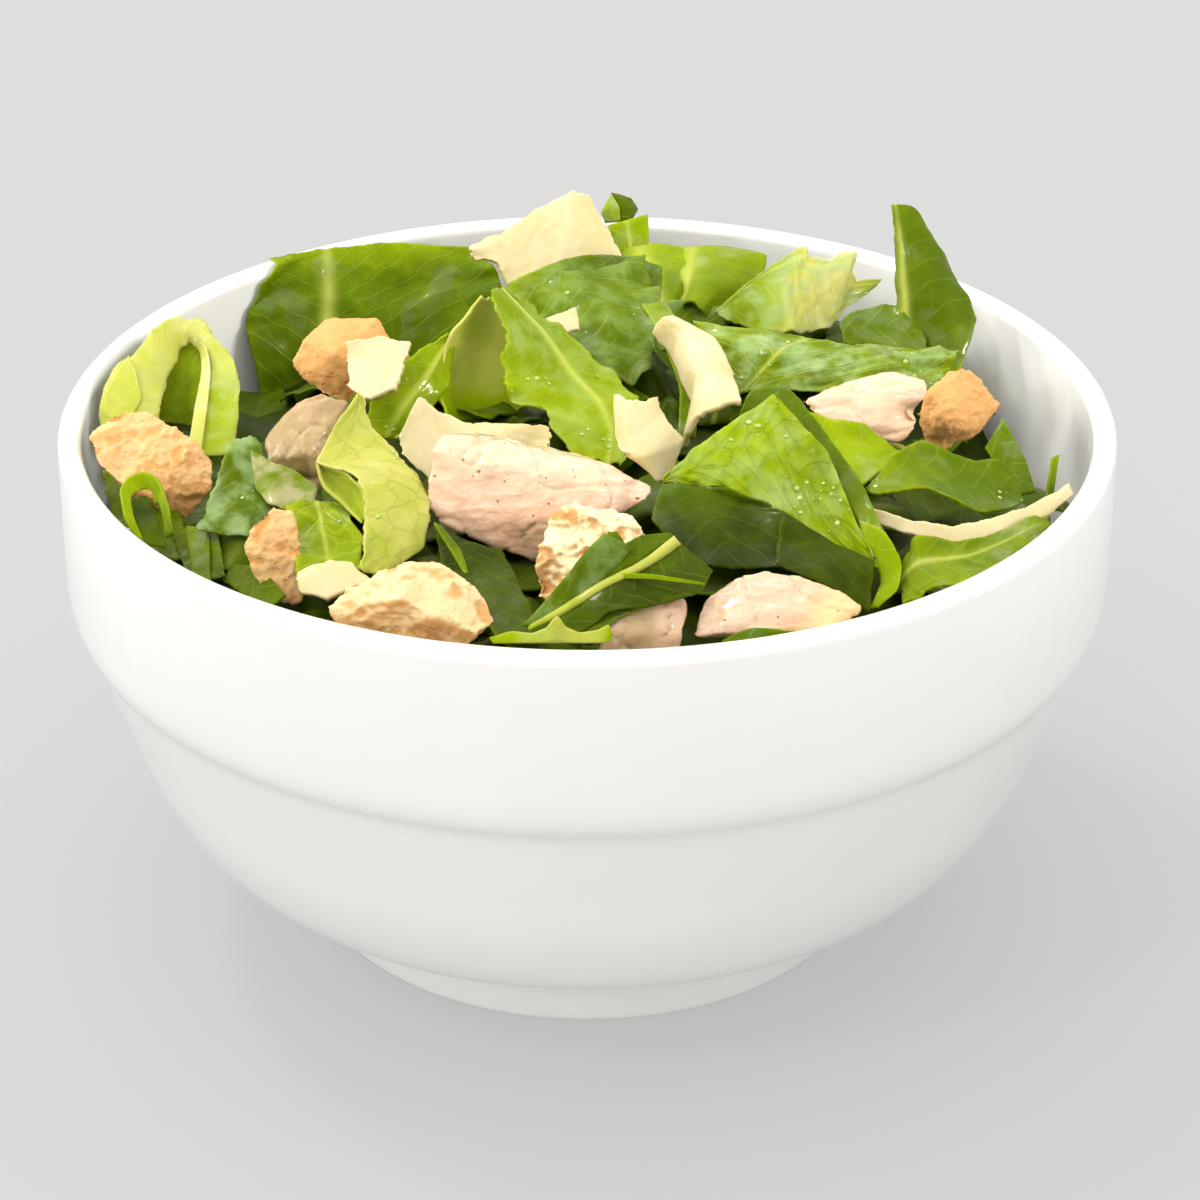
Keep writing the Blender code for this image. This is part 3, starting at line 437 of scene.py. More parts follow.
        right=[(-10.5, -40, 71), (-7.5, -48, 69), (-5, -58, 68)],
        tone=(0.04, 0.1, 0.16), ripple=0.5, teeth=0.3, veins=0.15),
    "small_blade": Leaf(
        left=[(-19, -38, 74), (-17, -42, 72.5), (-15, -46, 71)],
        middle=None,
        right=[(-18.2, -38, 73.6), (-15.7, -41.5, 72), (-14.6, -45.8, 71)],
        ripple=0.1, teeth=0.1),
    "rim_tip": Leaf(
        left=[(16, -62.5, 70.6), (19, -62, 71.9), (22, -62, 71.9), (25.5, -61.5, 71)],
        middle=None,
        right=[(16, -62.8, 70.3), (19, -63, 70.5), (22, -63, 70.5), (25.5, -62.3, 70.4)],
        tone=(0.3, 0.35), ripple=0.05, teeth=0.1, crisp=0),
}

# Parmesan shavings, in millimetres: one long edge, a middle line where it curls, and the other edge.
SHAVINGS = {
    "parmesan_back": (
        [(-17, 47, 76), (-12, 49, 77.5), (-6.5, 50, 81), (-2, 51, 83), (0, 51, 82.5)],
        [(-16.5, 46, 75), (-13, 46, 74), (-11.5, 44, 71.5), (-3.5, 45, 74.5), (5.5, 46, 74)]),
    "parmesan_left": (
        [(-31.5, -3, 83), (-27.5, -2, 83.5), (-23, -3, 82.5)],
        [(-31, -6, 78), (-29, -8, 77), (-25, -8, 78.5)]),
    "parmesan_middle": (
        [(-24.5, -10, 73), (-22, -8, 77.5), (-19, -8, 75), (-15, -8, 73.5), (-8.5, -8, 73.5),
         (-5, -8, 73)],
        [(-24, -11, 70.5), (-20.5, -13, 68), (-18, -12, 69), (-14, -11, 70.5), (-8.5, -10, 71),
         (-5, -10, 71)]),
    "parmesan_chip": (
        [(-5.5, 16, 78), (-1.5, 16, 80)],
        [(-3, 14, 77), (-1, 14, 77.5)]),
    "parmesan_curved": (
        [(9.4, 17, 76), (12, 13, 73.5), (14.2, 6, 70.5), (13, 0, 66.5)],
        [(11, 14, 79.3), (14.2, 11, 78.3), (16.3, 5, 75.6), (16, -2, 72.5)],
        [(12, 14, 78.5), (17, 11, 77), (19, 6, 74), (20.5, -1, 73.5)]),
    "parmesan_upright": (
        [(3.4, -17, 82), (3.9, -19, 77), (4.4, -21, 75.5), (8.4, -22, 73)],
        [(4.4, -18.6, 82), (5, -20.6, 77.6), (6, -22.6, 75.8), (8.8, -23.2, 73)],
        [(8.5, -17, 81.5), (9, -18, 79.5), (12, -19, 76.5), (10, -22, 72)]),
    "parmesan_front_left": (
        [(-35.5, -46, 71), (-31.5, -45, 72), (-29, -45, 72)],
        [(-35, -48, 69.5), (-31.5, -49, 69), (-26.5, -47, 70.5)]),
    "parmesan_ribbon": (
        [(35, -29, 72), (40, -33, 72), (45.5, -34, 71.5), (50.5, -32, 71.5), (56, -28, 71.5),
         (61.5, -21, 71)],
        [(35, -30, 70.8), (40, -34.3, 70.6), (46, -35.7, 69.4), (52, -33.8, 69.2), (56.5, -29.5, 69.6),
         (62, -22, 70)]),
}

# Chicken chunks and the flakes of pepper tried on each.
CHICKEN = {"chicken_centre": 130, "chicken_right": 20, "chicken_front_right": 30, "chicken_front": 6,
           "chicken_back_left": 4}

# Brown stain and painted shade on the chunks that have more than a trace of it: on the front and back left
# chunks it stands partly for the shade they lie in.
STAIN_AND_SHADE = {"chicken_front": 0.75, "chicken_back_left": 2.1, "chicken_right": 0.2}
TRACE_OF_STAIN_AND_SHADE = 0.1

CROUTONS = {
    "crouton_left": Toast((0.75, -0.5, -0.4), 0.3, 0.9, 0.16),
    "crouton_front_left": Toast((0.2, 0.9, 0), 0.0, 1.0, 0.16),
    "crouton_front": Toast((0.2, -0.5, -0.9), 0.1, 0.8, 0.55),
    "crouton_centre": Toast((-0.6, -0.6, -0.6), 0.2, 1.5, 1.0),
    "crouton_back_left": Toast((0, -1, 0.2), 1.6, 0.5, 0.0),
    "crouton_right": Toast((0, -1, 0), 0.7, 1.0, 0.0),
}

# Narrow lamps that reach over the leaves to the inner wall: power, cone in degrees, place and aim.
WALL_RIGHT = (0.065, 0.02, 0.065)
WALL_LEFT = (-0.056, 0.03, 0.066)
WALL_LAMPS = {
    "wall_right_1": (4.9, 10.5, (-0.36, -0.09, 0.25), WALL_RIGHT),
    "wall_right_2": (4.9, 10.5, (-0.36, 0.02, 0.225), WALL_RIGHT),
    "wall_right_3": (4.9, 10.5, (-0.34, 0.13, 0.20), WALL_RIGHT),
    "wall_left_1": (6.0, 10, (0.33, -0.16, 0.26), WALL_LEFT),
    "wall_left_2": (6.0, 10, (0.34, -0.04, 0.25), WALL_LEFT),
}
SUN_COLOUR = (1.0, 0.985, 0.96)
LAMP_COLOUR = (1.0, 0.98, 0.93)


# ---------------------------------------------------------------- settings

class SaladBowlSettings(bpy.types.PropertyGroup):
    """Porcelain of the bowl."""
    glaze: bpy.props.FloatVectorProperty(
        name="Glaze", description="Colour of the glazed porcelain", default=(0.885, 0.875, 0.85),
        **COLOUR)
    gloss: bpy.props.FloatProperty(
        name="Roughness", description="Roughness of the glaze", default=0.14, min=0.02, max=1,
        subtype="FACTOR")
    turns: bpy.props.IntProperty(
        name="Turns", description="Faces round the bowl", default=192, min=24, max=512)


class SaladLeafSettings(bpy.types.PropertyGroup):
    """Colours and sizes of the romaine."""
    dark: bpy.props.FloatVectorProperty(
        name="Dark", description="Outer leaves in the shade", default=(0.016, 0.028, 0.001), **COLOUR)
    green: bpy.props.FloatVectorProperty(
        name="Green", description="Green of the outer leaves", default=(0.090, 0.148, 0.001), **COLOUR)
    bright: bpy.props.FloatVectorProperty(
        name="Bright", description="Light green of the inner leaves", default=(0.28, 0.37, 0.001),
        **COLOUR)
    heart: bpy.props.FloatVectorProperty(
        name="Heart", description="Yellow green of the heart", default=(0.53, 0.505, 0.12), **COLOUR)
    pale: bpy.props.FloatVectorProperty(
        name="Pale", description="Palest leaves of the heart", default=(0.63, 0.62, 0.33), **COLOUR)
    vein: bpy.props.FloatVectorProperty(
        name="Vein", description="What ribs and veins turn towards", default=(0.66, 0.68, 0.14), **COLOUR)
    thickness: bpy.props.FloatProperty(
        name="Thickness", description="Thickness of a leaf", default=0.00032, min=0.0001, max=0.003,
        unit="LENGTH")
    cell: bpy.props.FloatProperty(
        name="Mesh size", description="Size of a leaf's faces", default=0.00045, min=0.0002, max=0.005,
        unit="LENGTH")
    vein_spacing: bpy.props.FloatProperty(
        name="Vein spacing", description="Distance between side veins", default=0.0034, min=0.001,
        max=0.02, unit="LENGTH")
    fillers: bpy.props.IntProperty(
        name="Under leaves", description="Leaves under the ones in front", default=90, min=0, max=400)


class SaladToppingSettings(bpy.types.PropertyGroup):
    """Colours and mesh size of chicken, bread and cheese."""
    chicken: bpy.props.FloatVectorProperty(
        name="Chicken", description="Cut face of the chicken", default=(0.84, 0.58, 0.38), **COLOUR)
    crumb: bpy.props.FloatVectorProperty(
        name="Crumb", description="Inside of the bread", default=(0.72, 0.355, 0.12), **COLOUR)
    crust: bpy.props.FloatVectorProperty(
        name="Crust", description="Toasted crust", default=(0.75, 0.375, 0.125), **COLOUR)
    cheese: bpy.props.FloatVectorProperty(
        name="Parmesan", description="Parmesan shavings", default=(0.66, 0.55, 0.245), **COLOUR)
    voxel: bpy.props.FloatProperty(
        name="Mesh size", description="Size of the faces of chicken and bread", default=0.0004,
        min=0.0002, max=0.003, unit="LENGTH")


class SaladStageSettings(bpy.types.PropertyGroup):
    """Floor, light and camera."""
    floor: bpy.props.FloatVectorProperty(
        name="Floor", description="Colour of the floor", default=(0.211, 0.211, 0.213), **COLOUR)
    sky: bpy.props.FloatProperty(
        name="Room light", description="Strength of the light all round", default=0.85, min=0, max=10)
    key: bpy.props.FloatProperty(
        name="Overhead light", description="Strength of the wide light from above", default=1.8,
        **STRENGTH)
    side: bpy.props.FloatProperty(
        name="Side light", description="Strength of the light from behind on the left", default=0.5,
        **STRENGTH)
    window: bpy.props.FloatProperty(
        name="Window light", description="Strength of the light from the left in front", default=0.28,
        **STRENGTH)
    wall: bpy.props.FloatProperty(
        name="Wall light", description="Strength of the lamps on the inside of the bowl", default=1.0,
        **STRENGTH)
    front: bpy.props.FloatProperty(
        name="Front light", description="Strength of the low light from the front", default=0.4,
        **STRENGTH)
    lens: bpy.props.FloatProperty(
        name="Lens", description="Focal length of the camera in millimetres", default=112.35, min=20,
        max=400)
    pitch: bpy.props.FloatProperty(
        name="Pitch", description="How far the camera looks down", default=math.radians(27.5), min=0,
        max=1.57, subtype="ANGLE")
    distance: bpy.props.FloatProperty(
        name="Distance", description="From the camera to what it looks at", default=0.5112, min=0.1,
        max=10, unit="LENGTH")
    aim: bpy.props.FloatProperty(
        name="Aim height", description="Height of the point it looks at", default=0.04347, min=0, max=1,
        unit="LENGTH")


# ---------------------------------------------------------------- shaping tools

def through(points, share):
    """Place a share of the way along a smooth curve through points or numbers."""
    spans = len(points) - 1
    place = min(max(share, 0.0), 1.0) * spans
    first = min(int(place), spans - 1)
    along = place - first
    before = points[first - 1] if first else 2 * points[0] - points[1]
    beyond = points[first + 2] if first + 2 <= spans else 2 * points[-1] - points[-2]
    start, end = points[first], points[first + 1]
    return 0.5 * (2 * start + (end - before) * along
                  + (2 * before - 5 * start + 4 * end - beyond) * along ** 2
                  + (3 * start - before - 3 * end + beyond) * along ** 3)


def straight(points, share):
    """Place a share of the way along straight runs through points."""
    place = min(max(share, 0.0), 1.0) * (len(points) - 1)
    first = min(int(place), len(points) - 2)
    return points[first].lerp(points[first + 1], place - first)


def edge_point(points, share, crisp):
    """Place on a sheet's edge, which has corners where crisp is 1 and none where it is 0."""
    return through(points, share).lerp(straight(points, share), crisp)


def smooth(low, high, value):
    """Smooth step from 0 at low to 1 at high."""
    share = min(max((value - low) / (high - low), 0.0), 1.0)
    return share * share * (3 - 2 * share)


def vectors(points):
    """Points as vectors."""
    return [Vector(p) for p in points]


def curve(points, steps):
    """Points of a smooth profile curve."""
    line = vectors(points)
    return [tuple(through(line, k / steps)) for k in range(steps + 1)]


def inside_radius(height):
    """Inner radius of the bowl at a height, in millimetres."""
    for (wide, top), (narrow, low) in zip(INSIDE_CURVE, INSIDE_CURVE[1:]):
        if height >= low:
            share = min((height - low) / (top - low), 1.0)
            return narrow + (wide - narrow) * share
    return 0.0


def ragged(own, along, track, *waves):
    """Uneven edge: noise along it, each wave as how often, its layer and its height."""
    return sum(height * noise.noise(own + Vector((along * often, track, layer)))
               for often, layer, height in waves)


class Sheet:
    """Surface laid through a left edge, an optional middle line and a right edge."""

    def __init__(self, left, middle, right, crisp):
        self.left, self.right, self.crisp = vectors(left), vectors(right), crisp
        self.middle = vectors(middle) if middle else None
        self.rows = {}
        halfway = [self.row(share) for share in (0.25, 0.5, 0.75)]
        near = sum((m - l).length for l, m, r in halfway)
        far = sum((r - m).length for l, m, r in halfway)
        self.rib_share = min(max(near / (near + far), 0.12), 0.88)
        self.width = (near + far) / 3
        line = [self.row(k / 12)[1] for k in range(13)]
        self.length = sum((b - a).length for a, b in zip(line, line[1:]))

    def row(self, share):
        """Left edge, middle and right edge at a share of the length, worked out once."""
        if share not in self.rows:
            left = edge_point(self.left, share, self.crisp)
            right = edge_point(self.right, share, self.crisp)
            middle = edge_point(self.middle, share, self.crisp) if self.middle else (left + right) / 2
            self.rows[share] = left, middle, right
        return self.rows[share]

    def point(self, row, across):
        """Point of a row, at a share of its width from the left: a parabola through its three points."""
        left, middle, right = row
        rib = self.rib_share
        return (left * ((across - rib) * (across - 1) / rib)
                + middle * (across * (across - 1) / (rib * (rib - 1)))
                + right * (across * (across - rib) / (1 - rib)))

    def frame(self, share, across):
        """Point, sideways direction, forward direction and normal."""
        step = 0.01
        row, ahead, behind = self.row(share), self.row(min(share + step, 1)), self.row(max(share - step, 0))
        sideways = (self.point(row, across + step) - self.point(row, across - step)).normalized()
        forward = (self.point(ahead, across) - self.point(behind, across)).normalized()
        return self.point(row, across), sideways, forward, forward.cross(sideways).normalized()

    def new_grid(self, shape, cell):
        """Flat grid, from -1 to 1 both ways, whose faces have one size once it lies on the sheet."""
        made = bmesh.ops.create_grid(shape, x_segments=max(6, round(self.width / cell)),
                                     y_segments=max(8, round(self.length / cell)), size=1.0)
        return made["verts"]


def new_object(name, mesh, material):
    """Object that rides on the salad, with its material, attached to the salad's body from the record."""
    mesh.shade_smooth()
    mesh.materials.append(material)
    item = bpy.data.objects.new(name, mesh)
    bpy.context.scene.collection.objects.link(item)
    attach(item, BODY)
    return item


def mesh_from(shape, name):
    """Mesh in metres from a builder in millimetres, which is freed."""
    bmesh.ops.scale(shape, vec=(MM, MM, MM), verts=shape.verts)
    mesh = bpy.data.meshes.new(name)
    shape.to_mesh(mesh)
    shape.free()
    return mesh


def merged_node(name):
    """Builder with one node of the frame, its loose triangles joined, in metres."""
    shape = bmesh.new()
    shape.from_mesh(frame["nodes"][name].data)
    bmesh.ops.remove_doubles(shape, verts=shape.verts, dist=MM * 0.001)
    return shape


def thicken(item, thickness):
    """Give a blade or shaving its thickness, half on each side."""
    solid = item.modifiers.new("Thickness", "SOLIDIFY")
    solid.thickness = thickness
    solid.offset = 0.0


# ---------------------------------------------------------------- material tools

def colour_value(value):
    """Colour with its alpha for a socket, or the socket that gives it."""
    return value if isinstance(value, bpy.types.NodeSocket) else (*value[:3], 1.0)


class Nodes:
    """Short way to add and link the nodes of a tree."""

    def __init__(self, tree):
        self.tree = tree

    def set(self, node, values):
        """Link or set a node's inputs, by name or number."""
        for key, value in values.items():
            if isinstance(value, bpy.types.NodeSocket):
                self.tree.links.new(value, node.inputs[key])
            else:
                node.inputs[key].default_value = value

    def add(self, kind, values=None, **options):
        """New node with its options and inputs."""
        node = self.tree.nodes.new(kind)
        for key, value in options.items():
            setattr(node, key, value)
        self.set(node, values or {})
        return node

    def math(self, operation, a, b=0.0, c=0.0, clamp=False):
        """Result of a sum on up to three values."""
        node = self.add("ShaderNodeMath", {0: a, 1: b, 2: c}, operation=operation, use_clamp=clamp)
        return node.outputs[0]

    def times(self, a, b):
        """Product of two values."""
        return self.math("MULTIPLY", a, b)

    def vector_math(self, operation, *values):
        """Result of a sum on vectors."""
        return self.add("ShaderNodeVectorMath", dict(enumerate(values)), operation=operation).outputs[0]

    def step(self, value, low, high, start=0.0, end=1.0):
        """Smooth step from start at low to end at high."""
        node = self.add("ShaderNodeMapRange", {"Value": value, "From Min": low, "From Max": high,
                                               "To Min": start, "To Max": end},
                        interpolation_type="SMOOTHSTEP")
        return node.outputs["Result"]

    def mix(self, factor, a, b):
        """Blend of two colours."""
        values = {0: factor, 6: colour_value(a), 7: colour_value(b)}
        return self.add("ShaderNodeMix", values, data_type="RGBA").outputs[2]

    def noise(self, place, scale, detail=2.0, rough=0.5, distortion=0.0):
        """Noise from 0 to 1, as a value, and as a colour."""
        return self.add("ShaderNodeTexNoise", {"Vector": place, "Scale": scale, "Detail": detail,
                                               "Roughness": rough, "Distortion": distortion}).outputs

    def cells(self, place, scale, feature):
        """Distance inside the cells of a Voronoi pattern."""
        node = self.add("ShaderNodeTexVoronoi", {"Vector": place, "Scale": scale}, feature=feature)
        return node.outputs["Distance"]

    def attribute(self, name):
        """Value that the mesh carries at each point."""
        return self.add("ShaderNodeAttribute", attribute_name=name).outputs["Fac"]

    def bump(self, height, strength, distance):
        """Normal that a height gives."""
        values = {"Height": height, "Strength": strength, "Distance": distance}
        return self.add("ShaderNodeBump", values).outputs[0]

    def place_group(self, tree, values):
        """Outputs of a node group placed in this tree."""
        return self.add("ShaderNodeGroup", values, node_tree=tree).outputs


def group(name, inputs, outputs, build):
    """Shader node group, built once. Build takes the group's inputs and gives its outputs by name."""
    tree = bpy.data.node_groups.get(name)
    if tree:
        return tree
    tree = bpy.data.node_groups.new(name, "ShaderNodeTree")
    for label, kind, default in inputs:
        socket = tree.interface.new_socket(label, in_out="INPUT", socket_type=kind)
        if default is not None:
            socket.default_value = default
    for label in outputs:
        tree.interface.new_socket(label, in_out="OUTPUT", socket_type="NodeSocketFloat")
    nodes = Nodes(tree)
    entry = tree.nodes.new("NodeGroupInput")
    leave = tree.nodes.new("NodeGroupOutput")
    nodes.set(leave, build(nodes, entry.outputs))
    return tree


def mottle(nodes, place, scale):
    """Uneven patches at two sizes, as the outputs Mask and Height of a shared node group."""
    def build(nodes, given):
        wide = nodes.noise(given["Place"], given["Scale"], 3.0, 0.55)[0]
        fine = nodes.noise(given["Place"], nodes.times(given["Scale"], 5.0), 2.0, 0.6)[0]
        both = nodes.math("MULTIPLY_ADD", fine, 0.35, nodes.times(wide, 0.65))
        return {"Mask": nodes.step(both, 0.34, 0.66), "Height": both}

    tree = group("Mottle", [("Place", "NodeSocketVector", None), ("Scale", "NodeSocketFloat", 100.0)],
                 ["Mask", "Height"], build)
    return nodes.place_group(tree, {"Place": place, "Scale": scale})


def veins_group():
    """Side veins that run off the middle rib, the fine net between them and the puff of its cells."""
    def build(nodes, given):
        wobble = nodes.noise(given["Place"], 0.22)["Color"]
        shift = nodes.vector_math("SUBTRACT", wobble, (0.5, 0.5, 0.5))
        bent = nodes.vector_math("MULTIPLY_ADD", shift, (1.6, 1.6, 0.0), given["Place"])
        across, along, _ = nodes.add("ShaderNodeSeparateXYZ", {0: bent}).outputs
        climb = nodes.math("POWER", nodes.math("ABSOLUTE", across), 0.85)
        run = nodes.math("SUBTRACT", along, climb)
        turn = nodes.times(nodes.math("GREATER_THAN", across, 0.0), 0.5)
        phase = nodes.math("ADD", nodes.math("DIVIDE", run, given["Spacing"]), turn)
        near = nodes.math("ABSOLUTE", nodes.math("SUBTRACT", nodes.math("FRACT", phase), 0.5))
        away = nodes.times(nodes.math("SUBTRACT", 0.5, near), given["Spacing"])
        cells = nodes.cells(bent, given["Net"], "DISTANCE_TO_EDGE")
        return {"Side": nodes.step(away, given["Width"], 0.02), "Net": nodes.step(cells, 0.05, 0.01),
                "Puff": nodes.step(cells, 0.0, 0.35)}

    return group("Leaf veins", [("Place", "NodeSocketVector", None), ("Spacing", "NodeSocketFloat", 3.4),
                                ("Width", "NodeSocketFloat", 0.24), ("Net", "NodeSocketFloat", 0.28)],
                 ["Side", "Net", "Puff"], build)


def new_material(name):
    """Node material with its node tools, its shader and the object's own coordinates."""
    material = bpy.data.materials.new(name)
    material.use_nodes = True
    nodes = Nodes(material.node_tree)
    shader = material.node_tree.nodes["Principled BSDF"]
    place = nodes.add("ShaderNodeTexCoord").outputs["Object"]
    return material, nodes, shader, place


# ---------------------------------------------------------------- materials

def porcelain_material():
    """White glaze, slightly wavy, a little warmer where it pools."""
    bowl = bpy.context.scene.salad_bowl
    material, nodes, shader, place = new_material("glazed_porcelain")
    mask = mottle(nodes, place, 28.0)["Mask"]
    pooled = [c * s for c, s in zip(bowl.glaze, (0.985, 0.98, 0.97))]
    waves = nodes.noise(place, 60.0, 1.0)[0]
    nodes.set(shader, {"Base Color": nodes.mix(mask, bowl.glaze, pooled),
                       "Roughness": nodes.step(mask, 0.0, 1.0, bowl.gloss * 0.9, bowl.gloss * 1.25),
                       "Coat Weight": 0.5, "Coat Roughness": 0.06, "IOR": 1.5,
                       "Normal": nodes.bump(waves, 0.12, 0.0006)})
    return material


def tone_ramp(nodes, shade, leaves):
    """Colour of a leaf from its tone: dark, green, bright, heart and pale."""
    ramp = nodes.add("ShaderNodeValToRGB", {"Fac": shade})
    stops = [(0.0, leaves.dark), (0.33, leaves.green), (0.62, leaves.bright), (0.86, leaves.heart),
             (1.0, leaves.pale)]
    while len(ramp.color_ramp.elements) < len(stops):
        ramp.color_ramp.elements.new(0.5)
    for element, (stop, colour) in zip(ramp.color_ramp.elements, stops):
        element.position = stop
        element.color = (*colour, 1.0)
    return ramp.outputs[0]


def romaine_material(name, wet=0.7):
    """Romaine: tone from dark to pale, pale ribs, side veins, a fine net, pale frost patches that are partly
    a painted sheen, and a wet sheen.
    """
    leaves = bpy.context.scene.salad_leaves
    frosted, frosted_rib = (0.33, 0.46, 0.20), (0.40, 0.37, 0.18)
    material, nodes, shader, place = new_material(name)
    tone, rib, veiny, frost = [nodes.attribute(key) for key in ("tone", "rib", "veiny", "frost")]
    spot = nodes.add("ShaderNodeAttribute", attribute_name="place").outputs["Vector"]
    veins = nodes.place_group(veins_group(), {"Place": spot, "Spacing": leaves.vein_spacing / MM})
    uneven = nodes.step(mottle(nodes, place, 60.0)["Mask"], 0.0, 1.0, -0.05, 0.05)
    shift = nodes.math("SUBTRACT", uneven, nodes.times(nodes.times(veins["Puff"], veiny), 0.06))
    blade = tone_ramp(nodes, nodes.math("ADD", tone, shift, clamp=True), leaves)
    # Veins are lighter than the blade, never white on a dark leaf, and darker on a leaf's upper face.
    lines = nodes.math("MAXIMUM", nodes.times(veins["Side"], 0.8), nodes.times(veins["Net"], 0.3))
    raised = nodes.math("MULTIPLY", lines, veiny, clamp=True)
    sunk = nodes.math("MULTIPLY", veins["Net"], nodes.times(veiny, -0.45), clamp=True)
    colour = nodes.mix(raised, blade, nodes.mix(0.4, blade, leaves.vein))
    colour = nodes.mix(sunk, colour, leaves.green)
    colour = nodes.mix(nodes.times(rib, 0.9), colour, nodes.mix(0.7, blade, leaves.vein))
    # Pale frost patches: a frost on some leaves, on others a painted sheen standing for wet highlights.
    rime_and_sheen = nodes.step(nodes.noise(place, 300.0, 6.0)[0], 0.38, 0.66)
    pale_frost_and_sheen = nodes.mix(nodes.step(frost, 0.85, 0.98), frosted, frosted_rib)
    colour = nodes.mix(nodes.times(rime_and_sheen, frost), colour, pale_frost_and_sheen)
    film = nodes.noise(place, 160.0)[0]
    damp = nodes.times(nodes.step(film, 0.54, 0.66, 0.0, wet), nodes.step(tone, 0.1, 0.4, 0.25, 1.0))
    height = nodes.math("SUBTRACT", veins["Puff"], nodes.times(veins["Side"], 0.8))
    grain = nodes.noise(place, 1500.0)[0]
    height = nodes.math("MULTIPLY_ADD", grain, 0.12, nodes.times(height, veiny))
    nodes.set(shader, {"Base Color": colour, "Roughness": nodes.step(film, 0.4, 0.65, 0.5, 0.25),
                       "Coat Weight": damp, "Coat Roughness": 0.08, "Specular IOR Level": 0.14,
                       "Specular Tint": (0.85, 1.0, 0.2, 1.0), "Subsurface Weight": 0.2,
                       "Subsurface Radius": (0.8, 1.0, 0.1), "Subsurface Scale": 0.001,
                       "Normal": nodes.bump(height, 0.6, 0.00028)})
    return material


def chicken_material():
    """Cooked breast: pale pink beige, fibres along the piece, painted shade on its undersides, brown stain
    and painted shade in patches and creases, a moist sheen.
    """
    warm, light, shaded = (0.86, 0.50, 0.31), (0.93, 0.76, 0.58), (0.42, 0.27, 0.16)
    stain_and_shade_brown, toasted = (0.42, 0.29, 0.11), (0.96, 0.58, 0.24)
    material, nodes, shader, place = new_material("chicken")
    turned = nodes.add("ShaderNodeMapping", {"Vector": place, "Rotation": (0.2, 0.1, -0.2),
                                             "Scale": (0.22, 1.0, 1.0)}).outputs[0]
    fibre = nodes.noise(turned, 900.0, 4.0, 0.6, 0.4)[0]
    mask = mottle(nodes, place, 120.0)["Mask"]
    facing = nodes.add("ShaderNodeNewGeometry").outputs["Normal"]
    up = nodes.add("ShaderNodeSeparateXYZ", {0: facing}).outputs[2]
    stain_and_shade = nodes.attribute("stain_and_shade")
    colour = nodes.mix(mask, bpy.context.scene.salad_toppings.chicken, warm)
    colour = nodes.mix(nodes.step(fibre, 0.45, 0.75, 0.0, 0.65), colour, light)
    # Painted shade: darker where the surface faces down.
    colour = nodes.mix(nodes.step(up, 0.0, -0.55, 0.0, 0.75), colour, shaded)
    # Brown stain, and painted shade where the same attribute darkens creases and shaded chunks.
    colour = nodes.mix(stain_and_shade, colour, stain_and_shade_brown)
    colour = nodes.mix(nodes.attribute("toast"), colour, toasted)
    wet = nodes.times(nodes.noise(place, 450.0)[0], 1.5)
    height = nodes.math("MULTIPLY_ADD", fibre, 0.4, wet)
    nodes.set(shader, {"Base Color": colour, "Roughness": nodes.step(mask, 0.0, 1.0, 0.28, 0.48),
                       "Coat Weight": nodes.step(stain_and_shade, 0.2, 0.8, 0.9, 0.25), "Coat Roughness": 0.06,
                       "Subsurface Weight": 0.25, "Subsurface Radius": (1.0, 0.5, 0.3),
                       "Subsurface Scale": 0.0012, "Normal": nodes.bump(height, 0.6, 0.0006)})
    return material


def crouton_material():
    """Toasted bread: porous crumb with painted shade in its pores and pits, paler on faces that turn up,
    partly painted light, and brown crust by the mesh's own crust attribute.
    """
    toppings = bpy.context.scene.salad_toppings
    golden, pale_and_lit_crumb, brown = (0.82, 0.50, 0.20), (0.99, 0.90, 0.52), (0.68, 0.36, 0.11)
    pore_shade, pit_shade = (0.62, 0.29, 0.07), (0.66, 0.32, 0.08)
    material, nodes, shader, place = new_material("crouton")
    patches = mottle(nodes, place, 260.0)
    open_patch = nodes.step(nodes.noise(place, 650.0, 3.0)[0], 0.46, 0.6)
    hollow = nodes.times(nodes.step(nodes.cells(place, 1300.0, "F1"), 0.5, 0.1), open_patch)
    crumb = nodes.mix(patches["Mask"], toppings.crumb, golden)
    # Paler crumb on faces that turn up: partly its own colour, partly painted light from above.
    crumb = nodes.mix(nodes.attribute("pale"), crumb, pale_and_lit_crumb)
    # Pores and pits are darkened: painted shade in their hollows.
    crumb = nodes.mix(nodes.times(hollow, 0.35), crumb, pore_shade)
    crumb = nodes.mix(nodes.attribute("pit_shade_amount"), crumb, pit_shade)
    crust = nodes.mix(patches["Mask"], toppings.crust, brown)
    height = nodes.math("SUBTRACT", patches["Height"], nodes.times(hollow, 0.4))
    nodes.set(shader, {"Base Color": nodes.mix(nodes.attribute("crust"), crumb, crust),
                       "Roughness": nodes.step(patches["Mask"], 0.0, 1.0, 0.72, 0.9),
                       "Normal": nodes.bump(height, 0.6, 0.0005)})
    return material


def parmesan_material():
    """Hard cheese: cream, faintly grained, with a slightly oily face."""
    light, crystal = (0.74, 0.63, 0.36), (0.98, 0.95, 0.82)
    material, nodes, shader, place = new_material("parmesan")
    patches = mottle(nodes, place, 170.0)
    colour = nodes.mix(patches["Mask"], bpy.context.scene.salad_toppings.cheese, light)
    white = nodes.step(nodes.cells(place, 900.0, "F1"), 0.22, 0.08, 0.0, 0.12)
    nodes.set(shader, {"Base Color": nodes.mix(white, colour, crystal),
                       "Roughness": nodes.step(patches["Mask"], 0.0, 1.0, 0.42, 0.6),
                       "Subsurface Weight": 0.2, "Subsurface Radius": (1.0, 0.8, 0.4),
                       "Subsurface Scale": 0.0012, "Normal": nodes.bump(patches["Height"], 0.4, 0.0003)})
    return material


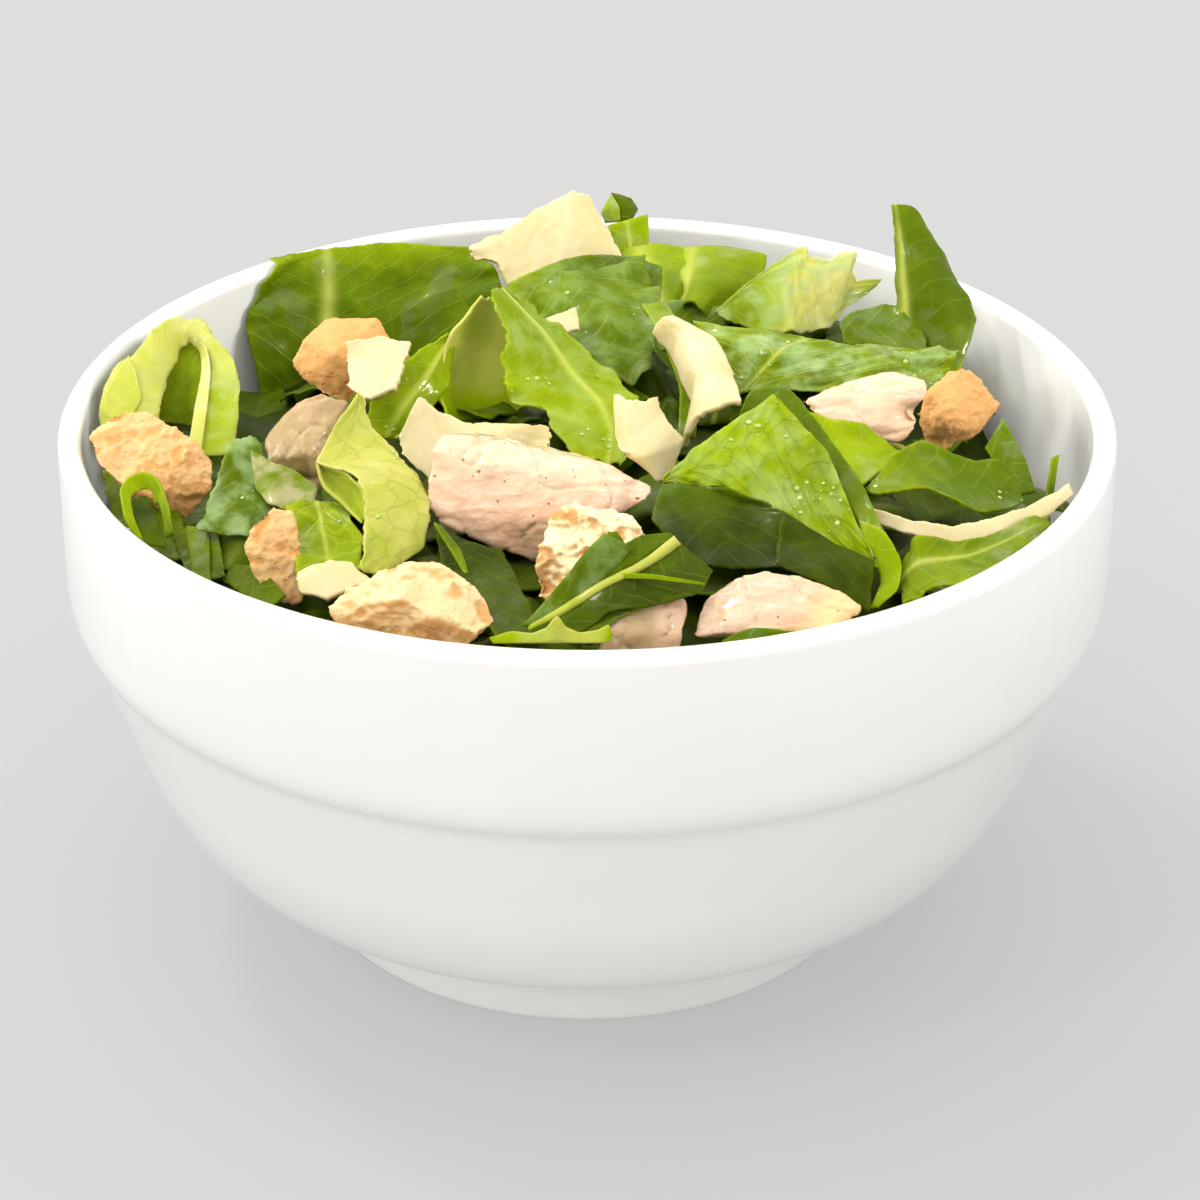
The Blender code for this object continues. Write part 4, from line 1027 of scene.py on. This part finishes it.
def mottled_material(name, scale, first, second, values):
    """Material of two colours in patches, with plain values for the rest of its shader."""
    material, nodes, shader, place = new_material(name)
    colour = nodes.mix(mottle(nodes, place, scale)["Mask"], first, second)
    nodes.set(shader, {"Base Color": colour, **values})
    return material


def dressing_material():
    """Drops of dressing and water on the leaves."""
    return mottled_material("dressing", 400.0, (0.40, 0.56, 0.08), (0.66, 0.79, 0.26),
                            {"Roughness": 0.04, "IOR": 1.33, "Transmission Weight": 0.3})


def pepper_material():
    """Ground pepper and dried herb."""
    return mottled_material("pepper", 900.0, (0.20, 0.12, 0.05), (0.42, 0.30, 0.12), {"Roughness": 0.7})


def floor_material(colour):
    """Pale, dull floor that glows a little, so that it stays light round the bowl."""
    return mottled_material("pale_floor", 3.0, colour, [c * 0.985 for c in colour],
                            {"Roughness": 0.8, "Specular IOR Level": 0.1,
                             "Emission Color": (1.0, 1.0, 1.0, 1.0), "Emission Strength": 0.38})


# ---------------------------------------------------------------- bowl

class SALAD_OT_bowl(bpy.types.Operator):
    """Turn the glazed bowl with its rounded rim, soft band and foot ring"""
    bl_idname = "salad.bowl"
    bl_label = "Bowl"

    def execute(self, context):
        rim_middle = RIM_HEIGHT - RIM_ROUND
        rim = [(BOWL_RADIUS - RIM_ROUND + RIM_ROUND * math.cos(math.radians(a)),
                rim_middle + RIM_ROUND * math.sin(math.radians(a))) for a in range(0, 181, 15)]
        profile = (FOOT_UNDER + FOOT_OUTSIDE + curve(BODY_CURVE, BODY_STEPS)[1:] + BAND_STEP
                   + rim + curve(INSIDE_CURVE, INSIDE_STEPS)[1:]
                   + [(12, FLOOR_HEIGHT + 0.1), (0, FLOOR_HEIGHT)])
        shape = bmesh.new()
        line = [shape.verts.new((radius, 0, height)) for radius, height in profile]
        edges = [shape.edges.new(pair) for pair in zip(line, line[1:])]
        bmesh.ops.spin(shape, geom=line + edges, axis=(0, 0, 1), cent=(0, 0, 0),
                       steps=context.scene.salad_bowl.turns, angle=math.tau, use_merge=True)
        bmesh.ops.remove_doubles(shape, verts=shape.verts, dist=0.005)
        bmesh.ops.recalc_face_normals(shape, faces=shape.faces)
        item = new_object("bowl_glazed", mesh_from(shape, "bowl_glazed"), porcelain_material())
        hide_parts("bowl")
        return {"FINISHED"}


# ---------------------------------------------------------------- leaves

def heap_top():
    """Ray test against the heap's solid: gives its height at a place, in millimetres."""
    shape = merged_node("salad_heap")
    tree = BVHTree.FromBMesh(shape)
    shape.free()

    def height(x, y):
        hit = tree.ray_cast(Vector((x * MM, y * MM, 0.2)), Vector((0, 0, -1)))[0]
        return hit.z / MM if hit else BESIDE_HEAP
    return height


def leaf_layers(shape):
    """Attributes that a leaf's mesh carries for its material."""
    values = [shape.verts.layers.float.new(name) for name in ("tone", "rib", "veiny", "frost")]
    return values + [shape.verts.layers.float_vector.new("place")]


def keep_inside(point):
    """Pull a leaf's point in, clear of the bowl's inner wall or of its rim."""
    below_rim = point.z < RIM_HEIGHT + RIM_CLEARANCE
    limit = inside_radius(point.z) - WALL_GAP if below_rim else BOWL_RADIUS - EDGE_GAP
    reach = math.hypot(point.x, point.y)
    if reach > limit:
        point.x *= limit / reach
        point.y *= limit / reach


def grow_leaf(shape, layers, leaf, seed, cell, ceiling=None):
    """Add one leaf: a fine grid laid on its sheet, rippled and puckered between its veins."""
    tone_layer, rib_layer, vein_layer, frost_and_sheen_layer, place_layer = layers
    vein_spacing = bpy.context.scene.salad_leaves.vein_spacing / MM
    rib_at, rib_width = leaf.rib or (0.0, 0.0)
    sheet = Sheet(leaf.left, leaf.middle, leaf.right, leaf.crisp)
    small = min(1.0, sheet.width / 8)
    own = Vector((seed * 7.31, seed * 3.17, seed * 1.73))
    verts = sheet.new_grid(shape, cell)
    too_high = 0.0
    for vert in verts:
        across, share = (vert.co.x + 1) / 2, (vert.co.y + 1) / 2
        point, sideways, forward, normal = sheet.frame(share, across)
        run = share * sheet.length
        from_middle = (across - sheet.rib_share) * sheet.width
        side, end = (-1 if across < 0.5 else 1), (1 if share > 0.5 else -1)
        edge, ends = abs(2 * across - 1), abs(2 * share - 1)
        # Torn and toothed edges.
        teeth = ragged(own, run, side * 9, (0.45, 0, 1.0), (1.5, 3, 0.6))
        torn = ragged(own, from_middle, 20 * (share > 0.5), (0.4, 5, 1.0), (1.4, 7, 0.5))
        sway = sideways * (side * teeth * leaf.teeth * small * smooth(0.6, 1.0, edge))
        sway += forward * (end * torn * leaf.teeth * small * smooth(0.7, 1.0, ends))
        # Veins leave the rib at a slant, and the blade puffs up between them.
        away = from_middle - rib_at
        phase = (run - abs(away) ** 0.85) / vein_spacing + (0.5 if away > 0 else 0.0)
        puff = 1 - (2 * (phase - math.floor(phase)) - 1) ** 2
        rib = math.exp(-(away / rib_width) ** 2 * 1.6) * (1 - 0.5 * share) if rib_width else 0.0
        # Wide waves, a ruffle towards the edge and a fine grain.
        wave = noise.noise(own + Vector((from_middle * 0.16, run * 0.16, 0))) * 1.5
        ruffle = math.sin(run * 1.0 + seed * 1.7 + 2 * noise.noise(own + Vector((run * 0.2, 0, 0))))
        lift = (leaf.ripple * small * (wave + ruffle * smooth(0.5, 1.0, edge) * 0.6)
                + 0.28 * abs(leaf.veins) * puff * min(1.0, abs(away) / 2) * (1 - rib)
                + 0.05 * noise.noise(own + Vector((from_middle, run, 0)) * 0.8)
                + 0.5 * rib * min(rib_width, 1.2))
        point = point + sway + normal * lift
        if ceiling:
            too_high = max(too_high, point.z - ceiling(point.x, point.y))
        keep_inside(point)
        vert.co = point
        # A little paler at the edges: painted light on the rims.
        vert[tone_layer] = through(leaf.tone, share) + 0.08 * smooth(0.86, 1.0, edge)
        vert[rib_layer] = min(1.0, rib)
        vert[vein_layer] = leaf.veins
        vert[frost_and_sheen_layer] = leaf.frost
        vert[place_layer] = (away, run, seed * 5.0)
    for vert in verts:
        vert.co.z -= too_high
    return verts


def solid_leaves(name, leaves, material, cell, ceiling=None):
    """One piece of many leaves, each a closed thin blade."""
    shape = bmesh.new()
    layers = leaf_layers(shape)
    for seed, leaf in leaves:
        grow_leaf(shape, layers, leaf, seed, cell, ceiling)
    item = new_object(name, mesh_from(shape, name), material)
    thicken(item, bpy.context.scene.salad_leaves.thickness)
    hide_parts("salad_heap")


def under_leaves(count, top):
    """Short leaves that lie loosely under the ones in front, all over the heap, dark as painted shade."""
    draw = random.Random(7)
    leaves = []
    for k in range(count):
        angle = k * GOLDEN_ANGLE
        radius = UNDER_LEAVES_RADIUS * math.sqrt((k + 0.5) / count)
        x, y = radius * math.cos(angle), radius * math.sin(angle)
        centre = Vector((x, y, top(x, y) - draw.uniform(0.5, 2.5)))
        yaw = draw.uniform(0, math.tau)
        forward = Vector((math.cos(yaw), math.sin(yaw), draw.uniform(-0.25, 0.25))) * draw.uniform(6.5, 10)
        bend = Vector((0, 0, draw.uniform(-2.5, 0.5)))
        side = Vector((-math.sin(yaw), math.cos(yaw), draw.uniform(-0.3, 0.3))) * draw.uniform(4, 6.5)
        droop = Vector((0, 0, draw.uniform(-2, 0.5)))
        middle = [centre + forward * s + bend * s * s for s in (-1, 0, 1)]
        left = [point - side * part + droop for point, part in zip(middle, (0.5, 1, 0.6))]
        right = [point + side * part + droop for point, part in zip(middle, (0.6, 1, 0.5))]
        # Dark tones: painted shade deep in the heap.
        tone = draw.uniform(0.02, 0.2)
        rib = (0, 0.5) if draw.random() < 0.3 else None
        leaves.append((k + 60, Leaf(left, middle, right, tone=(tone, tone + 0.1), rib=rib, ripple=0.8,
                                    veins=0.15, crisp=0.2)))
    return leaves


def extruded_ring(shape, ring):
    """Points of a new ring extruded from the edges of a ring of points."""
    edges = [edge for edge in shape.edges if all(vert in ring for vert in edge.verts)]
    made = bmesh.ops.extrude_edge_only(shape, edges=edges)["geom"]
    return [part for part in made if isinstance(part, bmesh.types.BMVert)]


class SALAD_OT_core(bpy.types.Operator):
    """Fill the bowl under the leaves with a packed core in the darkest leaf tone, painted shade"""
    bl_idname = "salad.core"
    bl_label = "Core"

    def execute(self, context):
        top = heap_top()
        shape = bmesh.new()
        tone_layer, *_, place_layer = leaf_layers(shape)
        made = bmesh.ops.create_circle(shape, cap_ends=False, segments=CORE_TURNS, radius=1.0)
        rings = [made["verts"]]
        while len(rings) < CORE_RINGS:
            rings.append(extruded_ring(shape, rings[-1]))
        for number, ring in enumerate(rings):
            radius = CORE_RADIUS * (1 - number / CORE_RINGS)
            for vert in ring:
                angle = math.atan2(vert.co.y, vert.co.x)
                x, y = radius * math.cos(angle), radius * math.sin(angle)
                near = [top(x + dx, y + dy) for dx, dy in ((0, 0), (2.5, 0), (-2.5, 0), (0, 2.5), (0, -2.5))]
                rough = noise.noise(Vector((x * 0.3, y * 0.3, 0))) * 1.2
                # Darkest tone: painted shade under the leaves.
                vert[tone_layer] = 0.0
                vert[place_layer] = (x, y, 3.0)
                vert.co = (x, y, min(min(near), CORE_HIGHEST) - CORE_BELOW_LEAVES + rough)
        for vert in extruded_ring(shape, rings[0]):
            vert.co = (vert.co.x * 0.9, vert.co.y * 0.9, CORE_BOTTOM)
        bmesh.ops.holes_fill(shape, edges=shape.edges, sides=CORE_TURNS)
        bmesh.ops.recalc_face_normals(shape, faces=shape.faces)
        material = romaine_material("romaine_core", 0.0)
        new_object("leaf_core", mesh_from(shape, "leaf_core"), material)
        return {"FINISHED"}


class SALAD_OT_leaves(bpy.types.Operator):
    """Grow the romaine leaves and the leaves under them"""
    bl_idname = "salad.leaves"
    bl_label = "Romaine leaves"

    def execute(self, context):
        blade = context.scene.salad_leaves
        material = romaine_material("romaine")
        kinds = {"romaine_dark": [], "romaine_green": [], "romaine_heart": []}
        for seed, leaf in enumerate(LEAVES.values()):
            tone = sum(leaf.tone) / 2
            kind = "romaine_dark" if tone < 0.31 else "romaine_green" if tone < 0.66 else "romaine_heart"
            kinds[kind].append((seed, leaf))
        for name, leaves in kinds.items():
            solid_leaves(name, leaves, material, blade.cell / MM)
        top = heap_top()
        solid_leaves("romaine_under", under_leaves(blade.fillers, top), material, UNDER_LEAF_CELL, top)
        return {"FINISHED"}


# ---------------------------------------------------------------- toppings

def lump(name, voxel, rounds):
    """Fine closed copy of a solid, rounded a little."""
    rough = bpy.data.meshes.new(name + "_rough")
    shape = merged_node(name)
    shape.to_mesh(rough)
    shape.free()
    item = bpy.data.objects.new(name + "_rough", rough)
    bpy.context.scene.collection.objects.link(item)
    remesh = item.modifiers.new("Voxels", "REMESH")
    remesh.mode = "VOXEL"
    remesh.voxel_size = voxel
    graph = bpy.context.evaluated_depsgraph_get()
    fine = bpy.data.meshes.new_from_object(item.evaluated_get(graph))
    bpy.data.objects.remove(item)
    shape = bmesh.new()
    shape.from_mesh(fine)
    bmesh.ops.scale(shape, vec=(1 / MM, 1 / MM, 1 / MM), verts=shape.verts)
    for _ in range(rounds):
        bmesh.ops.smooth_vert(shape, verts=shape.verts, factor=0.5, use_axis_x=True, use_axis_y=True,
                              use_axis_z=True)
    shape.normal_update()
    shape.verts.index_update()
    return shape


def push(shape, amount):
    """Move every point along its normal by what amount gives for the point."""
    moved = [(vert, vert.co + vert.normal * amount(vert)) for vert in shape.verts]
    for vert, place in moved:
        vert.co = place
    shape.normal_update()


class SALAD_OT_chicken(bpy.types.Operator):
    """Dice the chicken breast"""
    bl_idname = "salad.chicken"
    bl_label = "Chicken"

    def execute(self, context):
        material = chicken_material()
        for seed, name in enumerate(CHICKEN):
            darker = name == "chicken_front"
            shape = lump(name, context.scene.salad_toppings.voxel, 3)
            stain_and_shade = shape.verts.layers.float.new("stain_and_shade")
            toast = shape.verts.layers.float.new("toast")
            heights = [vert.co.z for vert in shape.verts]
            low, middle = min(heights), (min(heights) + max(heights)) / 2
            right = max(vert.co.x for vert in shape.verts)
            own = Vector((seed * 11.3, 0, 0))
            creases = {}

            def amount(vert):
                place = vert.co
                lumps = noise.noise(place * 0.25 + own) * 0.5 + noise.noise(place * 0.6 + own) * 0.14
                fibres = noise.noise(Vector((place.x * 0.25, place.y * 1.0, place.z * 1.0)) + own) * 0.06
                often = 0.26 if darker else 0.13
                crease = smooth(0.05, 0.0, abs(noise.noise(place * often + own * 3)))
                grain = noise.noise(place * 1.5 + own) * 0.06 + noise.noise(place * 3.0 + own) * 0.03
                creases[vert.index] = crease
                notch = 0.0
                if name == "chicken_right":
                    notch = smooth(4.5, 0.5, right - place.x) * smooth(1.5, 0.2, abs(place.z - middle))
                return lumps + fibres - 0.28 * crease + grain - 1.9 * notch

            push(shape, amount)
            for vert in shape.verts:
                patch = smooth(-0.25, 0.3, noise.noise(vert.co * 0.2 + own * 2))
                spread = 0.4 + 0.6 * patch if name in STAIN_AND_SHADE else patch
                # Painted shade in the creases, strongest on the front chunk, joins the brown stain.
                crease_shade = creases[vert.index] * (1.0 if darker else 0.3)
                vert[stain_and_shade] = max(STAIN_AND_SHADE.get(name, TRACE_OF_STAIN_AND_SHADE) * spread, crease_shade)
                corner = (right - vert.co.x) * 0.7 + (vert.co.z - low)
                vert[toast] = smooth(11.0, 5.0, corner) if name == "chicken_front_right" else 0.0
            item = new_object(name + "_piece", mesh_from(shape, name), material)
            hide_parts(name)
        return {"FINISHED"}


class SALAD_OT_croutons(bpy.types.Operator):
    """Toast the croutons: porous crumb on the torn faces and crust on the rest"""
    bl_idname = "salad.croutons"
    bl_label = "Croutons"

    def execute(self, context):
        material = crouton_material()
        for seed, (name, bread) in enumerate(CROUTONS.items()):
            shape = lump(name, context.scene.salad_toppings.voxel * CRUMB_VOXEL_SHARE, 1)
            crust, pit_shade_amount, pale = [shape.verts.layers.float.new(layer) for layer in ("crust", "pit_shade_amount", "pale")]
            crust_way = Vector(bread.crust_way).normalized()
            own = Vector((seed * 5.7, 3, 0))
            pits = {}

            def amount(vert):
                place = vert.co
                lumps = noise.noise(place * 0.3 + own) * 0.35 * (1 + bread.ragged)
                open_crumb = noise.ridged_multi_fractal(place * 0.5 + own, 0.8, 2.2, 4, 0.9, 2.0) - 1.0
                grain = noise.noise(place * 1.3 + own) * 0.16 + noise.noise(place * 2.8 + own) * 0.1
                open_crumb *= smooth(-0.35, 0.25, noise.noise(place * 0.33 + own * 2))
                pits[vert.index] = smooth(0.05, -0.7, open_crumb)
                return lumps + bread.ragged * (min(open_crumb, 0.5) * 0.36 + grain)

            push(shape, amount)
            for vert in shape.verts:
                facing = vert.normal.dot(crust_way) + noise.noise(vert.co * 0.3 + own) * 0.9
                vert[crust] = smooth(0.25, 0.75, facing + bread.cover - 0.2)
                # Painted shade in the pits of the open crumb.
                vert[pit_shade_amount] = pits[vert.index] * min(bread.ragged, 1.0)
                # Paler on faces that turn up: partly paler crumb, partly painted light from above.
                vert[pale] = bread.pale * smooth(-0.3, 0.5, vert.normal.z)
            item = new_object(name + "_piece", mesh_from(shape, name), material)
            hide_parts(name)
        return {"FINISHED"}


class SALAD_OT_parmesan(bpy.types.Operator):
    """Shave the parmesan"""
    bl_idname = "salad.parmesan"
    bl_label = "Parmesan"

    def execute(self, context):
        material = parmesan_material()
        for seed, (name, (upper, *middle, lower)) in enumerate(SHAVINGS.items()):
            shape = bmesh.new()
            sheet = Sheet(upper, middle[0] if middle else None, lower, 0.9)
            small = min(1.0, sheet.width / 6)
            own = Vector((seed * 4.1, 7, 0))
            for vert in sheet.new_grid(shape, SHAVING_CELL):
                across, share = (vert.co.x + 1) / 2, (vert.co.y + 1) / 2
                point, sideways, forward, normal = sheet.frame(share, across)
                run, beside = share * sheet.length, across * sheet.width
                side, end = (1 if across > 0.5 else -1), (1 if share > 0.5 else -1)
                chips = ragged(own, run, side * 5, (0.5, 0, 0.5), (1.9, 2, 0.25))
                broken = ragged(own, beside, end * 5, (0.5, 4, 0.6), (1.9, 6, 0.25))
                point += sideways * (side * chips * small * smooth(0.4, 1, abs(2 * across - 1)))
                point += forward * (end * broken * small * smooth(0.6, 1, abs(2 * share - 1)))
                lift = noise.noise(own + Vector((beside * 0.15, run * 0.15, 4))) * 0.7 * small
                lift += noise.noise(own + Vector((beside, run, 4)) * 0.8) * 0.05
                vert.co = point + normal * lift
            item = new_object(name + "_piece", mesh_from(shape, name), material)
            thicken(item, SHAVING_THICKNESS)
            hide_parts(name)
        return {"FINISHED"}


# ---------------------------------------------------------------- dressing and pepper

def scatter(name, spots, sizes, material, seed, sides):
    """One piece of many small drops or flakes, each lying on its surface."""
    draw = random.Random(seed)
    smallest, largest = sizes
    shape = bmesh.new()
    for place, normal in spots:
        radius = smallest + (largest - smallest) * draw.random() ** 3
        made = bmesh.ops.create_uvsphere(shape, u_segments=sides[0], v_segments=sides[1], radius=radius)
        turn = normal.to_track_quat("Z", "Y").to_matrix()
        long = draw.uniform(0.8, 1.5)
        for vert in made["verts"]:
            vert.co = turn @ Vector((vert.co.x * long, vert.co.y, vert.co.z * FLATNESS)) + place
    new_object(name, mesh_from(shape, name), material)


class SALAD_OT_dressing(bpy.types.Operator):
    """Scatter drops of dressing on the leaves and pepper on the chicken"""
    bl_idname = "salad.dressing"
    bl_label = "Dressing and pepper"

    def execute(self, context):
        draw = random.Random(3)
        drops = []
        for seed, leaf in enumerate(LEAVES.values()):
            if not leaf.drops:
                continue
            shape = bmesh.new()
            verts = grow_leaf(shape, leaf_layers(shape), leaf, seed, DROP_LEAF_CELL)
            shape.normal_update()
            inner = [vert for vert in verts if not vert.is_boundary]
            centres = [draw.choice(inner).co.copy() for _ in range(2 + leaf.drops // 6)]
            for _ in range(leaf.drops):
                spot = draw.choice(centres) + Vector([draw.gauss(0, DROP_SPREAD) for _ in range(3)])
                nearest = min(inner, key=lambda vert: (vert.co - spot).length_squared)
                face = draw.choice(list(nearest.link_faces))
                normal = face.normal if face.normal.dot(TOWARD_VIEW) > 0 else -face.normal
                drops.append((face.calc_center_median() + normal * DROP_LIFT, normal.copy()))
            shape.free()
        scatter("dressing_drops", drops, DROP_SIZES, dressing_material(), 5, (8, 5))
        flakes = []
        for name, count in CHICKEN.items():
            mesh = bpy.data.objects[name + "_piece"].data
            for _ in range(count):
                face = mesh.polygons[draw.randrange(len(mesh.polygons))]
                if face.normal.dot(TOWARD_VIEW) > 0.1:
                    flakes.append((face.center / MM, face.normal.copy()))
        scatter("pepper_flakes", flakes, PEPPER_SIZES, pepper_material(), 6, (6, 4))
        return {"FINISHED"}


# ---------------------------------------------------------------- stage

def add_light(name, kind, energy, colour, turn, place=(0, 0, 0)):
    """Lamp in the scene, whose light is returned for its own settings."""
    light = bpy.data.lights.new(name, kind)
    light.energy = energy
    light.color = colour
    lamp = bpy.data.objects.new(name, light)
    lamp.location = place
    lamp.rotation_euler = turn
    bpy.context.scene.collection.objects.link(lamp)
    return light


def add_floor(colour):
    """Wide pale floor."""
    shape = bmesh.new()
    bmesh.ops.create_grid(shape, x_segments=8, y_segments=8, size=2.0)
    mesh = bpy.data.meshes.new("floor")
    shape.to_mesh(mesh)
    shape.free()
    mesh.materials.append(floor_material(colour))
    floor = bpy.data.objects.new("floor", mesh)
    bpy.context.scene.collection.objects.link(floor)


def add_room_light(strength):
    """Even light from all round."""
    world = bpy.data.worlds.new("soft_room")
    world.use_nodes = True
    sky = world.node_tree.nodes["Background"]
    sky.inputs["Color"].default_value = (1.0, 0.99, 0.975, 1.0)
    sky.inputs["Strength"].default_value = strength
    bpy.context.scene.world = world


def add_camera(stage):
    """Camera that looks down into the bowl from the front."""
    lens = bpy.data.cameras.new("camera")
    lens.lens = stage.lens
    lens.sensor_width = 36.0
    lens.shift_x = CAMERA_SHIFT
    lens.clip_start = 0.01
    camera = bpy.data.objects.new("camera", lens)
    back = stage.distance
    camera.location = (0, -back * math.cos(stage.pitch), stage.aim + back * math.sin(stage.pitch))
    camera.rotation_euler = (math.pi / 2 - stage.pitch, 0, 0)
    bpy.context.scene.collection.objects.link(camera)
    bpy.context.scene.camera = camera


class SALAD_OT_stage(bpy.types.Operator):
    """Set up the floor, the soft light and the camera"""
    bl_idname = "salad.stage"
    bl_label = "Floor, light and camera"

    def execute(self, context):
        stage = context.scene.salad_stage
        add_floor(stage.floor)
        add_room_light(stage.sky)
        for name, strength, spread, turn in (("overhead", stage.key, 110, (-4, -16, 0)),
                                             ("side", stage.side, 8, (-16, -24, 0)),
                                             ("window", stage.window, 7, (27, -31, 0)),
                                             ("front", stage.front, 60, (76, 0, -5))):
            turn = [math.radians(angle) for angle in turn]
            add_light(name, "SUN", strength, SUN_COLOUR, turn).angle = math.radians(spread)
        for name, (power, cone, place, aim) in WALL_LAMPS.items():
            turn = (Vector(place) - Vector(aim)).to_track_quat("Z", "Y").to_euler()
            light = add_light(name, "SPOT", power * stage.wall, LAMP_COLOUR, turn, place)
            light.spot_size = math.radians(cone)
            light.spot_blend = 0.5
            light.shadow_soft_size = 0.06
        add_camera(stage)
        context.scene.view_settings.view_transform = "Standard"
        return {"FINISHED"}


class SALAD_PT_panel(bpy.types.Panel):
    """Sidebar panel with the salad's settings and its pieces in the order they are made"""
    bl_idname = "SALAD_PT_panel"
    bl_label = "Chicken Caesar Salad"
    bl_space_type = "VIEW_3D"
    bl_region_type = "UI"
    bl_category = "Salad"

    def draw(self, context):
        for part in SETTINGS:
            values = getattr(context.scene, part)
            box = self.layout.box()
            for key in values.bl_rna.properties.keys():
                if key not in ("rna_type", "name"):
                    box.prop(values, key)
        for operator in OPERATORS:
            self.layout.operator(operator.bl_idname)


SETTINGS = {"salad_bowl": SaladBowlSettings, "salad_leaves": SaladLeafSettings,
            "salad_toppings": SaladToppingSettings, "salad_stage": SaladStageSettings}
OPERATORS = [SALAD_OT_bowl, SALAD_OT_core, SALAD_OT_leaves, SALAD_OT_chicken, SALAD_OT_croutons,
             SALAD_OT_parmesan, SALAD_OT_dressing, SALAD_OT_stage]


def register():
    """Register the settings, operators and panel."""
    for name, kind in SETTINGS.items():
        bpy.utils.register_class(kind)
        setattr(bpy.types.Scene, name, bpy.props.PointerProperty(type=kind))
    for kind in OPERATORS + [SALAD_PT_panel]:
        bpy.utils.register_class(kind)


def unregister():
    """Take the panel, operators and settings away again."""
    for kind in [SALAD_PT_panel] + OPERATORS[::-1]:
        bpy.utils.unregister_class(kind)
    for name, kind in SETTINGS.items():
        delattr(bpy.types.Scene, name)
        bpy.utils.unregister_class(kind)


def main():
    """Make every piece in order."""
    register()
    bpy.ops.salad.bowl()
    bpy.ops.salad.core()
    bpy.ops.salad.leaves()
    bpy.ops.salad.chicken()
    bpy.ops.salad.croutons()
    bpy.ops.salad.parmesan()
    bpy.ops.salad.dressing()
    bpy.ops.salad.stage()


if __name__ == "__main__":
    main()
